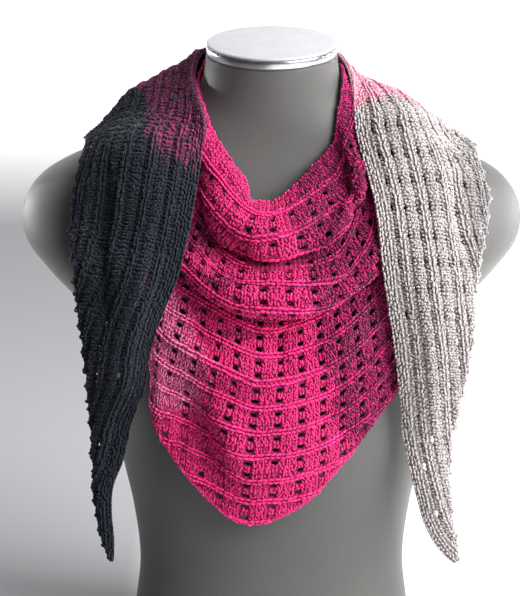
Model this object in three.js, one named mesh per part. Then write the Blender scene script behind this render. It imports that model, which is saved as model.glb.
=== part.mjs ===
// Triangle scarf in a holed rib knit, worn with its point in front on a limbless bust form.
// Millimetres, +Z up, front towards -Y. Origin: centre of the form's flat base, on the floor plane.
import * as THREE from 'three';

// ---------------------------------------------------------------- sizes (mm)
const WALL = 2.6;              // thickness of the knitted cloth
const WALL_TAPER = 2.2;        // thickness at the two pointed ends
const NECK_RADIUS = 63.8;       // neck of the form at its collar
const NECK_TILT = 9.4;         // degrees the neck's top plane leans forward
const NECK_TOP_Z = 602.2;      // centre of the neck's top plane
const COLLAR_HEIGHT = 8.2;     // polished collar on the neck
const CAP_HEIGHT = 2.6;        // disc that closes the neck
const SEAM_GAP = 0.3;          // air between neighbouring pieces
const TORSO_RINGS = 44;        // rings up the form
const TORSO_SIDES = 56;        // points round each ring

// Cross-sections of the form: height, half width, half depth, centre offset front to back, squareness
const FORM_SECTIONS = [
  { z:   0, halfWidth: 143,  halfDepth: 101,  yCentre:  0, power: 2.3 },
  { z:  40, halfWidth: 139,  halfDepth:  97,  yCentre:  0, power: 2.3 },
  { z:  90, halfWidth: 134,  halfDepth:  93,  yCentre:  1, power: 2.3 },
  { z: 147, halfWidth: 140,  halfDepth:  99,  yCentre:  1, power: 2.3 },
  { z: 195, halfWidth: 150,  halfDepth: 108,  yCentre:  0, power: 2.3 },
  { z: 255, halfWidth: 160,  halfDepth: 115,  yCentre:  0, power: 2.3 },
  { z: 312, halfWidth: 173,  halfDepth: 117,  yCentre:  2, power: 2.3 },
  { z: 352, halfWidth: 188,  halfDepth: 115,  yCentre:  5, power: 2.3 },
  { z: 388, halfWidth: 222,  halfDepth: 109,  yCentre:  8, power: 2.2 },
  { z: 415, halfWidth: 243,  halfDepth: 102,  yCentre: 11, power: 2.15 },
  { z: 440, halfWidth: 248,  halfDepth:  95,  yCentre: 13, power: 2.1 },
  { z: 465, halfWidth: 241,  halfDepth:  87,  yCentre: 15, power: 2.1 },
  { z: 486, halfWidth: 222,  halfDepth:  80,  yCentre: 17, power: 2.1 },
  { z: 503, halfWidth: 190,  halfDepth:  75,  yCentre: 18, power: 2.1 },
  { z: 517, halfWidth: 155,  halfDepth:  71,  yCentre: 17, power: 2.1 },
  { z: 531, halfWidth: 122,  halfDepth:  68,  yCentre: 14, power: 2.1 },
  { z: 546, halfWidth:  95,  halfDepth:  66,  yCentre: 10, power: 2.0 },
  { z: 562, halfWidth:  77,  halfDepth:  64,  yCentre:  5, power: 2.0 },
  { z: 582, halfWidth:  67,  halfDepth:  63,  yCentre: -1, power: 2.0 },
  { z: 604, halfWidth:  64,  halfDepth:  63,  yCentre: -6, power: 2.0 },
  { z: 640, halfWidth:  63.5, halfDepth: 63.5, yCentre: -12, power: 2.0 },
];

// Each stretch of cloth is a table of sections along it. Every section names five points across the
// cloth, from the long edge (or the hidden top) to the short edge (or the turned-under lip).
const TAIL_PALE = [
  { inner: [178.6, -88, 109], innerMid: [180.9, -88.4, 109.9], middle: [182.9, -88.5, 110.9], outerMid: [184.1, -87.9, 111.8], outer: [185, -87, 112.8] },
  { inner: [163.3, -91, 124.5], innerMid: [169.4, -91.7, 126.1], middle: [174.8, -91.6, 127.9], outerMid: [178.9, -90.1, 129.7], outer: [182.1, -88, 131.7] },
  { inner: [148.9, -95, 151.4], innerMid: [158.5, -96.8, 152.1], middle: [166.4, -96.1, 153.1], outerMid: [172.1, -93.4, 154.5], outer: [177.1, -90, 155.9] },
  { inner: [136.2, -100, 197.7], innerMid: [149.8, -103.5, 196.3], middle: [160, -102, 195.6], outerMid: [167.5, -97.6, 195.3], outer: [173.3, -92, 195.3] },
  { inner: [127.3, -94.1, 241.3], innerMid: [139, -100.1, 242.2], middle: [150.9, -102.1, 242], outerMid: [163.3, -98.1, 240.1], outer: [176.2, -89.1, 236.9] },
  { inner: [122.1, -106.6, 287.5], innerMid: [137.4, -113.6, 290.8], middle: [153, -115.6, 292.8], outerMid: [169.1, -110.6, 293], outer: [185.8, -100.6, 291.9] },
  { inner: [115.4, -112, 339.9], innerMid: [134, -118, 340.9], middle: [152.8, -120, 340.8], outerMid: [172.3, -114, 338.9], outer: [192.4, -103, 335.9] },
  { inner: [107.6, -114.1, 386.1], innerMid: [128.7, -119.1, 387.4], middle: [150, -120.1, 387.8], outerMid: [171.9, -113.1, 386.6], outer: [194.6, -100.1, 384.1] },
  { inner: [102.4, -104.7, 428.6], innerMid: [126.6, -107.7, 428.4], middle: [151, -107.7, 427.7], outerMid: [176.1, -98.7, 425.3], outer: [202.2, -82.7, 421.5] },
  { inner: [97.5, -87.3, 468.9], innerMid: [123.8, -87.3, 469.8], middle: [152.6, -83.5, 470.1], outerMid: [182.1, -72.9, 466.4], outer: [208.9, -45.8, 458] },
  { inner: [87.7, -67.9, 504.3], innerMid: [114.7, -71.2, 508.7], middle: [145.7, -64.2, 510.5], outerMid: [177.3, -53.9, 504.2], outer: [202.8, -32, 489.2] },
  { inner: [80.3, -56.3, 531.6], innerMid: [107.3, -60.2, 539.8], middle: [136.2, -57.1, 540.4], outerMid: [171.8, 2, 524.8], outer: [197, 20, 511.5] },
  { inner: [78.5, -32.2, 557.3], innerMid: [99.7, -14, 563.2], middle: [126.7, 12, 559.1], outerMid: [156.5, 38, 537], outer: [190, 56, 504.6] },
  { inner: [77.7, -9.1, 576.8], innerMid: [89.2, 16, 573.5], middle: [112.4, 42, 562.6], outerMid: [150, 78, 525.1], outer: [172, 91.2, 452] },
  { inner: [71.9, 13.5, 592.8], innerMid: [78, 34, 581.4], middle: [104, 70, 548], outerMid: [128, 103.9, 478], outer: [134, 109.7, 392] },
  { inner: [59, 37.3, 601.6], innerMid: [68, 49.4, 574], middle: [72, 102.6, 516], outerMid: [82, 116.9, 440], outer: [84, 122.3, 360] },
  { inner: [41.6, 55.5, 594.8], innerMid: [46, 68.2, 566], middle: [36, 102.7, 512], outerMid: [36, 118.5, 440], outer: [34, 128.1, 352] },
  { inner: [16.8, 68.1, 587.2], innerMid: [16.9, 79.3, 558], middle: [8, 101.3, 510], outerMid: [-6, 117.2, 440], outer: [-22, 128.1, 364] },
  { inner: [-5, 72.1, 579.4], innerMid: [-8.7, 82.8, 552.4], middle: [-16, 100.7, 508], outerMid: [-34, 114.2, 450.1], outer: [-60, 122.9, 392] },
];
const TAIL_DARK = [
  { inner: [-154.9, -90, 113.8], innerMid: [-156.1, -90.1, 113.7], middle: [-157.3, -90.2, 113.6], outerMid: [-157.9, -89.6, 113.6], outer: [-158.4, -89, 113.5] },
  { inner: [-154, -92, 134.1], innerMid: [-157.8, -92.2, 133.5], middle: [-161.6, -92.5, 133], outerMid: [-164, -91.2, 132.7], outer: [-166.4, -90, 132.4] },
  { inner: [-155.9, -94, 159.3], innerMid: [-161, -94.7, 158.8], middle: [-165.4, -94.7, 158.4], outerMid: [-168.5, -93.2, 158.3], outer: [-170.8, -91, 158.3] },
  { inner: [-154.4, -96, 189.4], innerMid: [-161.3, -96.9, 188.6], middle: [-167.5, -97.1, 188], outerMid: [-171.1, -94.3, 187.9], outer: [-173.8, -91, 187.8] },
  { inner: [-142.5, -100, 219.8], innerMid: [-154.3, -102.3, 219.4], middle: [-163.8, -101.4, 219.4], outerMid: [-169.8, -96.8, 219.7], outer: [-174.2, -91, 220.3] },
  { inner: [-135.6, -86.7, 254.3], innerMid: [-145.4, -92.7, 256.4], middle: [-155.4, -94.7, 257.5], outerMid: [-165.9, -90.7, 256.9], outer: [-176.8, -81.7, 255] },
  { inner: [-120.6, -105.6, 295.1], innerMid: [-134.4, -112.6, 297.9], middle: [-148.4, -114.6, 299.4], outerMid: [-163, -109.6, 299.1], outer: [-178.2, -97.6, 297.1] },
  { inner: [-117.1, -110.6, 324.9], innerMid: [-132.3, -118.6, 329.3], middle: [-147.8, -120.6, 332.2], outerMid: [-163.9, -114.6, 333.2], outer: [-180.7, -100.6, 332.4] },
  { inner: [-104.6, -114.1, 362.8], innerMid: [-124.2, -120.1, 365.9], middle: [-144, -121.1, 367.8], outerMid: [-164.3, -114.1, 367.9], outer: [-185.6, -98.1, 366.1] },
  { inner: [-90, -117, 397.3], innerMid: [-114, -121, 401], middle: [-138.1, -121, 403.9], outerMid: [-162.9, -111, 404.8], outer: [-188.9, -91, 403.7] },
  { inner: [-79.1, -109.8, 438.2], innerMid: [-105.7, -105.8, 443.2], middle: [-134.5, -96.5, 445.4], outerMid: [-163.9, -84.8, 445.2], outer: [-193.8, -59.1, 440.7] },
  { inner: [-71.1, -85.3, 480.1], innerMid: [-96.6, -87.1, 484.2], middle: [-125.2, -85.3, 485.8], outerMid: [-156.4, -73.8, 485.9], outer: [-189.4, -45.7, 479.5] },
  { inner: [-66.1, -68.2, 514], innerMid: [-91.2, -71.8, 520.3], middle: [-117.9, -70.6, 524], outerMid: [-151.2, -57.7, 522.2], outer: [-183.2, -20.8, 509.1] },
  { inner: [-62.8, -61.6, 540], innerMid: [-86.5, -40, 546.9], middle: [-112.7, -16, 547.8], outerMid: [-145.6, 10, 542.5], outer: [-182, 34, 516.9] },
  { inner: [-71.3, -35, 565.2], innerMid: [-83.7, -6, 570.1], middle: [-110.4, 22, 568.9], outerMid: [-143.6, 44, 557.4], outer: [-176, 72, 503.4] },
  { inner: [-75.6, -7.4, 583.6], innerMid: [-80.7, 24, 586.5], middle: [-106.6, 50, 577.7], outerMid: [-144, 86, 531.1], outer: [-158, 100.4, 444] },
  { inner: [-70.1, 16.6, 598.5], innerMid: [-75.1, 40, 598.7], middle: [-92, 78, 562], outerMid: [-118, 110.7, 484], outer: [-118, 118.4, 384] },
  { inner: [-55.3, 40.5, 606.5], innerMid: [-64.8, 50.6, 584], middle: [-66, 105.8, 530], outerMid: [-72, 124.2, 440], outer: [-66, 131.6, 350] },
  { inner: [-32.9, 57.5, 608.7], innerMid: [-39.3, 68, 586], middle: [-28, 109.4, 524], outerMid: [-24, 127.2, 440], outer: [-16, 137, 344] },
  { inner: [-2.3, 65.1, 609.7], innerMid: [-2.6, 75.6, 589], middle: [12, 109, 524], outerMid: [20, 126.4, 444], outer: [28, 136.2, 358] },
  { inner: [24.4, 60.9, 609.7], innerMid: [28.8, 67.8, 595], middle: [42, 103.5, 536], outerMid: [60, 121.8, 468], outer: [74, 130.7, 400] },
  { inner: [42.7, 51.4, 609.6], innerMid: [46.4, 51.6, 602], middle: [72, 60.4, 580], outerMid: [64, 114.3, 528], outer: [70, 124.9, 486] },
  { inner: [54.1, 41.2, 609.6], innerMid: [56.2, 39.6, 606.3], middle: [62.2, 41.9, 600], outerMid: [72.4, 47, 591], outer: [82.6, 51.6, 582] },
];
const FRONT_PANEL = [
  { top: [-138.2, -66.2, 455.6], upper: [-137.9, -75.9, 432], middle: [-135.7, -84.1, 410.1], lower: [-132.8, -91.3, 384.2], edge: [-130.2, -92.1, 357] },
  { top: [-120.4, -82.1, 421.4], upper: [-120.2, -91.3, 397.9], middle: [-118.2, -98.4, 372.1], lower: [-116.3, -102.7, 343.7], edge: [-116.8, -100.6, 315.6] },
  { top: [-95.2, -93.1, 402.2], upper: [-100.7, -105.2, 373.5], middle: [-104.3, -114.7, 344.5], lower: [-108.4, -115.4, 311.4], edge: [-110.5, -101.8, 264.4] },
  { top: [-68.3, -100.3, 391.9], upper: [-71.9, -115.4, 360.2], middle: [-79.4, -124, 327.2], lower: [-89.7, -112.1, 281], edge: [-89.6, -105.1, 219.3] },
  { top: [-37.8, -106, 385.4], upper: [-39.6, -123.8, 346.6], middle: [-43.4, -131.3, 307.5], lower: [-52.3, -121.1, 251.8], edge: [-59.8, -108.1, 177.9] },
  { top: [-5.5, -108, 381.9], upper: [-7.4, -127, 333.7], middle: [-11.2, -132.8, 286.4], lower: [-17, -127, 223.7], edge: [-22, -111.3, 156.2] },
  { top: [26.8, -106.5, 385.5], upper: [28.6, -124.4, 340.9], middle: [29.6, -129.9, 293.5], lower: [28.9, -126.9, 239.5], edge: [25.4, -113, 173.4] },
  { top: [57.3, -102.4, 392.4], upper: [60.8, -118.3, 353.1], middle: [64.8, -122.9, 311.3], lower: [66.1, -121.3, 267.6], edge: [65.8, -113.2, 214.7] },
  { top: [84.2, -93.4, 406.1], upper: [90.5, -107.8, 372.1], middle: [95.4, -111.7, 336], lower: [99.7, -110, 298.2], edge: [102.3, -104.6, 262.1] },
  { top: [107.4, -83.9, 423.7], upper: [113.8, -94.8, 394.7], middle: [118.7, -98.8, 364.3], lower: [122, -98.1, 330.8], edge: [124.8, -93.3, 290] },
  { top: [126.9, -73.4, 443.2], upper: [132.4, -81.7, 417.5], middle: [137.2, -87.5, 393.2], lower: [140.5, -87.6, 365.8], edge: [143.2, -82.8, 333.1] },
];
const COWL_LOWER = [
  { top: [-99.8, -54.9, 496.6], upper: [-107.3, -62.6, 480.3], crest: [-113.7, -71.4, 466.2], lip: [-118.5, -76, 449.5], under: [-116.6, -75.7, 443.6] },
  { top: [-78.5, -59.8, 493.4], upper: [-87.8, -73.6, 464.6], crest: [-94, -90.6, 444.3], lip: [-98.8, -93.5, 424.6], under: [-94.2, -89.1, 423.7] },
  { top: [-61.1, -69.1, 477.5], upper: [-69.4, -86.8, 441.7], crest: [-77.4, -107.5, 420.5], lip: [-83.2, -108.2, 401.3], under: [-77.8, -100.6, 403.7] },
  { top: [-43.7, -81.4, 452.4], upper: [-50.1, -98.8, 424.6], crest: [-58, -128.3, 407.3], lip: [-62, -124.2, 384.4], under: [-55.8, -109.1, 387.9] },
  { top: [-22.7, -89.1, 434.4], upper: [-26.3, -108.8, 414.9], crest: [-29.8, -141, 397.5], lip: [-29.9, -136.2, 370.6], under: [-26.3, -116.5, 376] },
  { top: [4, -91.4, 429], upper: [4.9, -111.8, 413.6], crest: [5.7, -145.6, 394.6], lip: [7.6, -138.6, 367.3], under: [5.8, -118.6, 373.5] },
  { top: [32.6, -90.5, 432.7], upper: [37.1, -109, 416], crest: [40.3, -139.5, 397.2], lip: [44.3, -133.4, 370], under: [39, -116.8, 376] },
  { top: [55.6, -83.1, 448.8], upper: [65.7, -99.6, 424.8], crest: [73.5, -123.9, 406.4], lip: [79.5, -118.5, 389.9], under: [73.3, -106.5, 390.3] },
  { top: [67.3, -69.4, 475.6], upper: [84.1, -87.7, 443.8], crest: [98.9, -100.6, 423], lip: [107.8, -97.3, 408.8], under: [101.3, -94.1, 407.2] },
  { top: [69.5, -56.5, 504.6], upper: [89.3, -71.6, 474], crest: [109.1, -81, 452.3], lip: [118.7, -84.3, 435.5], under: [115.9, -84, 431.5] },
  { top: [77.3, -46.9, 524.5], upper: [90.7, -52.4, 507.9], crest: [107.8, -63.1, 486.2], lip: [121, -70.4, 468], under: [120, -71.8, 462.4] },
  { top: [112, -20, 532.9], upper: [118, -22, 529.4], crest: [126, -24, 526.8], lip: [136, -26, 522], under: [139, -28, 519.1] },
];
const COWL_UPPER = [
  { top: [-41.2, 49, 597], upper: [-43.5, 51.9, 586], crest: [-48.2, 55.5, 574], lip: [-53, 58.8, 562], under: [-56.2, 60.3, 556] },
  { top: [-66.4, 16.6, 592], upper: [-72.7, 18.1, 580], crest: [-82, 18.9, 568], lip: [-92.4, 19.6, 557], under: [-95.5, 20.3, 551] },
  { top: [-61.3, -47.3, 544], upper: [-64.1, -50.8, 540.5], crest: [-67.4, -53.7, 535.1], lip: [-71.3, -52.8, 530.2], under: [-72.8, -50.1, 526.9] },
  { top: [-55.4, -54.1, 529.4], upper: [-59.1, -59.3, 524.3], crest: [-63.4, -62, 517.9], lip: [-67.7, -62.6, 511.3], under: [-70.8, -58.5, 506.8] },
  { top: [-40.9, -65.6, 507.9], upper: [-49.3, -75.2, 499.7], crest: [-56.8, -82.6, 491.2], lip: [-63.6, -81.9, 481.5], under: [-65.7, -75, 474.5] },
  { top: [-28.4, -79.4, 486.8], upper: [-37.7, -96.2, 478], crest: [-47, -105.5, 468.1], lip: [-57.5, -100.5, 453.8], under: [-60.7, -88.9, 446.9] },
  { top: [-17.8, -87.8, 473.7], upper: [-22.4, -109.8, 462.1], crest: [-29.9, -120.8, 446.9], lip: [-38.5, -114.8, 429.6], under: [-39.6, -102.1, 429.1] },
  { top: [-0.8, -90.2, 468.4], upper: [-1.7, -115.1, 457.3], crest: [-1.8, -127.5, 441.5], lip: [-1.7, -123.3, 419.7], under: [-1.7, -107.2, 423.3] },
  { top: [17.3, -82.3, 478.6], upper: [21.9, -103.9, 465.9], crest: [30.2, -117.8, 449.2], lip: [37.8, -115.8, 429.7], under: [34.3, -102.3, 429.1] },
  { top: [31.8, -71.7, 492.4], upper: [42, -85.2, 480], crest: [55, -100.2, 463.4], lip: [67.3, -104.6, 446.9], under: [65.9, -91.2, 442.5] },
  { top: [48.2, -59.4, 508.9], upper: [57.7, -65.1, 499.1], crest: [69.8, -78.7, 484.8], lip: [80.8, -93, 470.8], under: [83.1, -83.5, 463.4] },
  { top: [59.8, -52.6, 523.4], upper: [65.6, -55.6, 517], crest: [72.9, -65.4, 507.8], lip: [81.2, -77, 496.1], under: [84.4, -70, 491.1] },
  { top: [62.8, -46, 543.8], upper: [66.6, -48.9, 538.4], crest: [70.3, -53.9, 531.3], lip: [75, -58.7, 523.3], under: [77.1, -55, 519.9] },
  { top: [68.5, -22.2, 580], upper: [72.5, -23.6, 570], crest: [79.9, -24.4, 561], lip: [88.1, -25.3, 553], under: [90.1, -25.8, 548] },
  { top: [66.3, 16.5, 590], upper: [70, 17.4, 580], crest: [75.5, 18.8, 570], lip: [83.1, 20.7, 560], under: [87.8, 21.9, 555] },
];
// Stretches of cloth: sections, columns across, least height over the form, grid, and colour
const STRETCHES = [
  { name: 'front_panel', sections: FRONT_PANEL, across: ['top', 'upper', 'middle', 'lower', 'edge'],
    clear: 3.2, along: 30, wide: 22, colour: 0xd2286f },
  { name: 'cowl_lower', sections: COWL_LOWER, across: ['top', 'upper', 'crest', 'lip', 'under'],
    clear: 3.2, along: 32, wide: 17, colour: 0xdb2d78 },
  { name: 'cowl_upper', sections: COWL_UPPER, across: ['top', 'upper', 'crest', 'lip', 'under'],
    clear: 3.2, along: 36, wide: 15, colour: 0xe0347f },
  { name: 'tail_pale', sections: TAIL_PALE, across: ['inner', 'innerMid', 'middle', 'outerMid', 'outer'],
    clear: 9.0, along: 54, wide: 12, colour: 0xbdb5b0 },
  { name: 'tail_dark', sections: TAIL_DARK, across: ['inner', 'innerMid', 'middle', 'outerMid', 'outer'],
    clear: 9.0, along: 60, wide: 12, colour: 0x1d2128 },
];

// ---------------------------------------------------------------- form
const FORM_KEYS = ['halfWidth', 'halfDepth', 'yCentre', 'power'];
const FORM_SLOPES = FORM_SECTIONS.map((s, i) => {
  const slope = {};
  for (const k of FORM_KEYS) {
    const d = (a, b) => (FORM_SECTIONS[b][k] - FORM_SECTIONS[a][k]) / (FORM_SECTIONS[b].z - FORM_SECTIONS[a].z);
    const last = FORM_SECTIONS.length - 1;
    slope[k] = i === 0 ? d(0, 1) : i === last ? d(last - 1, last) : (d(i - 1, i) + d(i, i + 1)) / 2;
  }
  return slope;
});

function formSection(z) {
  const last = FORM_SECTIONS.length - 1;
  const zc = Math.min(Math.max(z, FORM_SECTIONS[0].z), FORM_SECTIONS[last].z);
  let i = 0;
  while (i < last - 1 && FORM_SECTIONS[i + 1].z <= zc) i += 1;
  const a = FORM_SECTIONS[i], b = FORM_SECTIONS[i + 1], h = b.z - a.z, t = (zc - a.z) / h;
  const out = {};
  for (const k of FORM_KEYS) {
    out[k] = (2 * t ** 3 - 3 * t ** 2 + 1) * a[k] + (t ** 3 - 2 * t ** 2 + t) * h * FORM_SLOPES[i][k]
      + (-2 * t ** 3 + 3 * t ** 2) * b[k] + (t ** 3 - t ** 2) * h * FORM_SLOPES[i + 1][k];
  }
  return out;
}

function formField(x, y, z) {
  const s = formSection(z);
  const r = (Math.abs(x / s.halfWidth) ** s.power + Math.abs((y - s.yCentre) / s.halfDepth) ** s.power) ** (1 / s.power);
  return (r - 1) * s.halfDepth;
}

// Signed distance to the form (outside positive) and the direction away from it
function formDistance(p) {
  const e = 0.5, f = formField(...p);
  const g = [0, 1, 2].map((k) => {
    const hi = [...p], lo = [...p]; hi[k] += e; lo[k] -= e;
    return (formField(...hi) - formField(...lo)) / (2 * e);
  });
  const len = Math.hypot(...g) + 1e-9;
  return { distance: f / len, away: g.map((c) => c / len) };
}

function liftOff(p, clear, rounds) {
  let q = [...p];
  for (let i = 0; i < rounds; i += 1) {
    const { distance, away } = formDistance(q);
    const k = Math.min(Math.max(clear - distance, 0), 60);
    q = q.map((c, j) => c + away[j] * k);
  }
  return q;
}

// ---------------------------------------------------------------- cloth surfaces
const mix = (a, b, t) => a.map((c, i) => c + (b[i] - c) * t);
const gap = (a, b) => Math.hypot(...a.map((c, i) => c - b[i]));

function throughPoints(list, t) {
  const last = list.length - 1, tc = Math.min(Math.max(t, 0), last - 1e-9);
  const i = Math.floor(tc), f = tc - i;
  const p1 = list[i], p2 = list[i + 1];
  const p0 = i > 0 ? list[i - 1] : mix(p2, p1, 2);
  const p3 = i < last - 1 ? list[i + 2] : mix(p1, p2, 2);
  return p1.map((_, k) => 0.5 * (2 * p1[k] + (-p0[k] + p2[k]) * f
    + (2 * p0[k] - 5 * p1[k] + 4 * p2[k] - p3[k]) * f * f
    + (-p0[k] + 3 * p1[k] - 3 * p2[k] + p3[k]) * f ** 3));
}

function evenly(list, count) {
  const run = [0];
  for (let i = 1; i < list.length; i += 1) run.push(run[i - 1] + gap(list[i], list[i - 1]));
  const out = [];
  for (let j = 0, i = 0; j < count; j += 1) {
    const want = run[run.length - 1] * j / (count - 1);
    while (i < list.length - 2 && run[i + 1] < want) i += 1;
    out.push(mix(list[i], list[i + 1], Math.min(1, (want - run[i]) / (run[i + 1] - run[i] + 1e-9))));
  }
  return out;
}

function clothGrid({ sections, across, clear, along, wide }) {
  const rows = sections.map((s) => across.map((c) => s[c]));
  const run = [0];
  for (let i = 1; i < rows.length; i += 1) {
    run.push(run[i - 1] + rows[i].reduce((sum, p, k) => sum + gap(p, rows[i - 1][k]), 0) / across.length);
  }
  let grid = [];
  for (let j = 0, i = 0; j < along; j += 1) {
    const want = run[run.length - 1] * j / (along - 1);
    while (i < run.length - 2 && run[i + 1] < want) i += 1;
    const t = i + (want - run[i]) / (run[i + 1] - run[i]);
    const section = across.map((_, k) => throughPoints(rows.map((r) => r[k]), t));
    const fine = Array.from({ length: 64 }, (_, q) => throughPoints(section, (across.length - 1) * q / 63));
    grid.push(evenly(fine, wide).map((p) => liftOff(p, clear, 6)));
  }
  for (let pass = 0; pass < 2; pass += 1) {
    const blend = (a, b, c) => b.map((v, k) => 0.5 * v + 0.25 * (a[k] + c[k]));
    const lengthwise = grid.map((row, i) => (i === 0 || i === along - 1 ? row
      : row.map((p, j) => blend(grid[i - 1][j], p, grid[i + 1][j]))));
    grid = lengthwise.map((row) => row.map((p, j) => (j === 0 || j === wide - 1 ? p
      : blend(row[j - 1], p, row[j + 1]))).map((p) => liftOff(p, clear, 2)));
  }
  return grid;
}

// A closed wall of cloth on both sides of its middle surface
function clothWall(stretch) {
  const grid = clothGrid(stretch), nu = stretch.along, nv = stretch.wide;
  const at = (i, j) => grid[Math.min(Math.max(i, 0), nu - 1)][Math.min(Math.max(j, 0), nv - 1)];
  const positions = [], index = [];
  for (const side of [0.5, -0.5]) {
    for (let i = 0; i < nu; i += 1) {
      for (let j = 0; j < nv; j += 1) {
        const u = new THREE.Vector3(...at(i + 1, j)).sub(new THREE.Vector3(...at(i - 1, j)));
        const v = new THREE.Vector3(...at(i, j + 1)).sub(new THREE.Vector3(...at(i, j - 1)));
        const n = u.cross(v).normalize();
        const wall = i < 2 ? WALL_TAPER : WALL;
        positions.push(...new THREE.Vector3(...at(i, j)).addScaledVector(n, side * wall).toArray());
      }
    }
  }
  const id = (side, i, j) => side * nu * nv + i * nv + j;
  for (let i = 0; i < nu - 1; i += 1) {
    for (let j = 0; j < nv - 1; j += 1) {
      index.push(id(0, i, j), id(0, i + 1, j), id(0, i + 1, j + 1), id(0, i, j), id(0, i + 1, j + 1), id(0, i, j + 1));
      index.push(id(1, i, j), id(1, i + 1, j + 1), id(1, i + 1, j), id(1, i, j), id(1, i, j + 1), id(1, i + 1, j + 1));
    }
  }
  const rim = [];
  for (let i = 0; i < nu; i += 1) rim.push([i, 0]);
  for (let j = 1; j < nv; j += 1) rim.push([nu - 1, j]);
  for (let i = nu - 2; i >= 0; i -= 1) rim.push([i, nv - 1]);
  for (let j = nv - 2; j >= 1; j -= 1) rim.push([0, j]);
  rim.forEach(([i, j], k) => {
    const [m, n] = rim[(k + 1) % rim.length];
    index.push(id(0, i, j), id(1, i, j), id(1, m, n), id(0, i, j), id(1, m, n), id(0, m, n));
  });
  return closed(positions, index);
}

// ---------------------------------------------------------------- shared helpers
function signedVolume(positions, index) {
  let sum = 0;
  for (let k = 0; k < index.length; k += 3) {
    const [a, b, c] = [0, 1, 2].map((q) => new THREE.Vector3().fromArray(positions, index[k + q] * 3));
    sum += a.dot(b.cross(c)) / 6;
  }
  return sum;
}

function closed(positions, index) {
  if (signedVolume(positions, index) < 0) {
    for (let k = 0; k < index.length; k += 3) [index[k + 1], index[k + 2]] = [index[k + 2], index[k + 1]];
  }
  const geometry = new THREE.BufferGeometry();
  geometry.setAttribute('position', new THREE.Float32BufferAttribute(positions, 3));
  geometry.setIndex(index);
  geometry.computeVertexNormals();
  return geometry;
}

// Rings of points joined into a closed skin with a flat fan at either end
function skinOfRings(rings) {
  const positions = [], index = [], n = rings[0].length;
  rings.forEach((ring) => ring.forEach((p) => positions.push(...p)));
  for (let r = 0; r < rings.length - 1; r += 1) {
    for (let k = 0; k < n; k += 1) {
      const a = r * n + k, b = r * n + (k + 1) % n;
      index.push(a, b, b + n, a, b + n, a + n);
    }
  }
  for (const [r, order] of [[0, 1], [rings.length - 1, -1]]) {
    const centre = [0, 1, 2].map((c) => rings[r].reduce((s, p) => s + p[c], 0) / n);
    const hub = positions.length / 3;
    positions.push(...centre);
    for (let k = 0; k < n; k += 1) {
      const a = r * n + k, b = r * n + (k + 1) % n;
      index.push(...(order > 0 ? [hub, b, a] : [hub, a, b]));
    }
  }
  return closed(positions, index);
}

// One ring round the form; 'tilt' leans it about the neck's axis
function formRing(z0, tilt, inset = 0) {
  const ring = [];
  for (let k = 0; k < TORSO_SIDES; k += 1) {
    const turn = 2 * Math.PI * k / TORSO_SIDES;
    let z = z0, x = 0, y = 0;
    for (let pass = 0; pass < 4; pass += 1) {
      const s = formSection(z), c = Math.cos(turn), d = Math.sin(turn);
      x = (s.halfWidth - inset) * Math.sign(c) * Math.abs(c) ** (2 / s.power);
      y = s.yCentre + (s.halfDepth - inset) * Math.sign(d) * Math.abs(d) ** (2 / s.power);
      z = z0 + (y - formSection(z0).yCentre) * Math.tan(THREE.MathUtils.degToRad(tilt));
    }
    ring.push([x, y, z]);
  }
  return ring;
}

function torso() {
  const rings = [formRing(0, 0, 3), formRing(2, 0, 0.6)];
  const leanFrom = 548;
  for (let r = 1; r <= TORSO_RINGS; r += 1) {
    const z = 2 + (NECK_TOP_Z - 3 - 2) * r / TORSO_RINGS;
    const lean = NECK_TILT * Math.min(Math.max((z - leanFrom) / (NECK_TOP_Z - leanFrom), 0), 1);
    rings.push(formRing(z, lean));
  }
  rings.push(formRing(NECK_TOP_Z, NECK_TILT, 1.2));
  return skinOfRings(rings);
}

// A short round disc square to the neck's leaning top plane
function neckDisc(from, to, radius, bevel) {
  const tilt = THREE.MathUtils.degToRad(NECK_TILT);
  const centreY = formSection(NECK_TOP_Z).yCentre;
  const rings = [[from, radius - bevel], [from + bevel, radius], [to - bevel, radius], [to, radius - bevel]];
  return skinOfRings(rings.map(([h, r]) => Array.from({ length: 64 }, (_, k) => {
    const a = 2 * Math.PI * k / 64, x = r * Math.cos(a), y = r * Math.sin(a);
    return [x, centreY + y * Math.cos(tilt) - h * Math.sin(tilt), NECK_TOP_Z + y * Math.sin(tilt) + h * Math.cos(tilt)];
  })));
}

// ---------------------------------------------------------------- assembly
const bust = new THREE.Group();
bust.name = 'triangle_scarf_on_bust_form';

function add(name, geometry, colour, roughness, metalness) {
  const mesh = new THREE.Mesh(geometry, new THREE.MeshStandardMaterial({ color: colour, roughness, metalness }));
  mesh.name = name;
  bust.add(mesh);
}

add('torso', torso(), 0x8d8d8a, 0.85, 0);
add('neck_collar', neckDisc(SEAM_GAP, SEAM_GAP + COLLAR_HEIGHT, NECK_RADIUS, 0.8), 0xc9cbcc, 0.2, 1);
add('neck_cap', neckDisc(2 * SEAM_GAP + COLLAR_HEIGHT, 2 * SEAM_GAP + COLLAR_HEIGHT + CAP_HEIGHT, NECK_RADIUS - 0.5, 1), 0xf1f1ef, 0.5, 0);
for (const stretch of STRETCHES) add(stretch.name, clothWall(stretch), stretch.colour, 0.95, 0);

export default bust;
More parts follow.
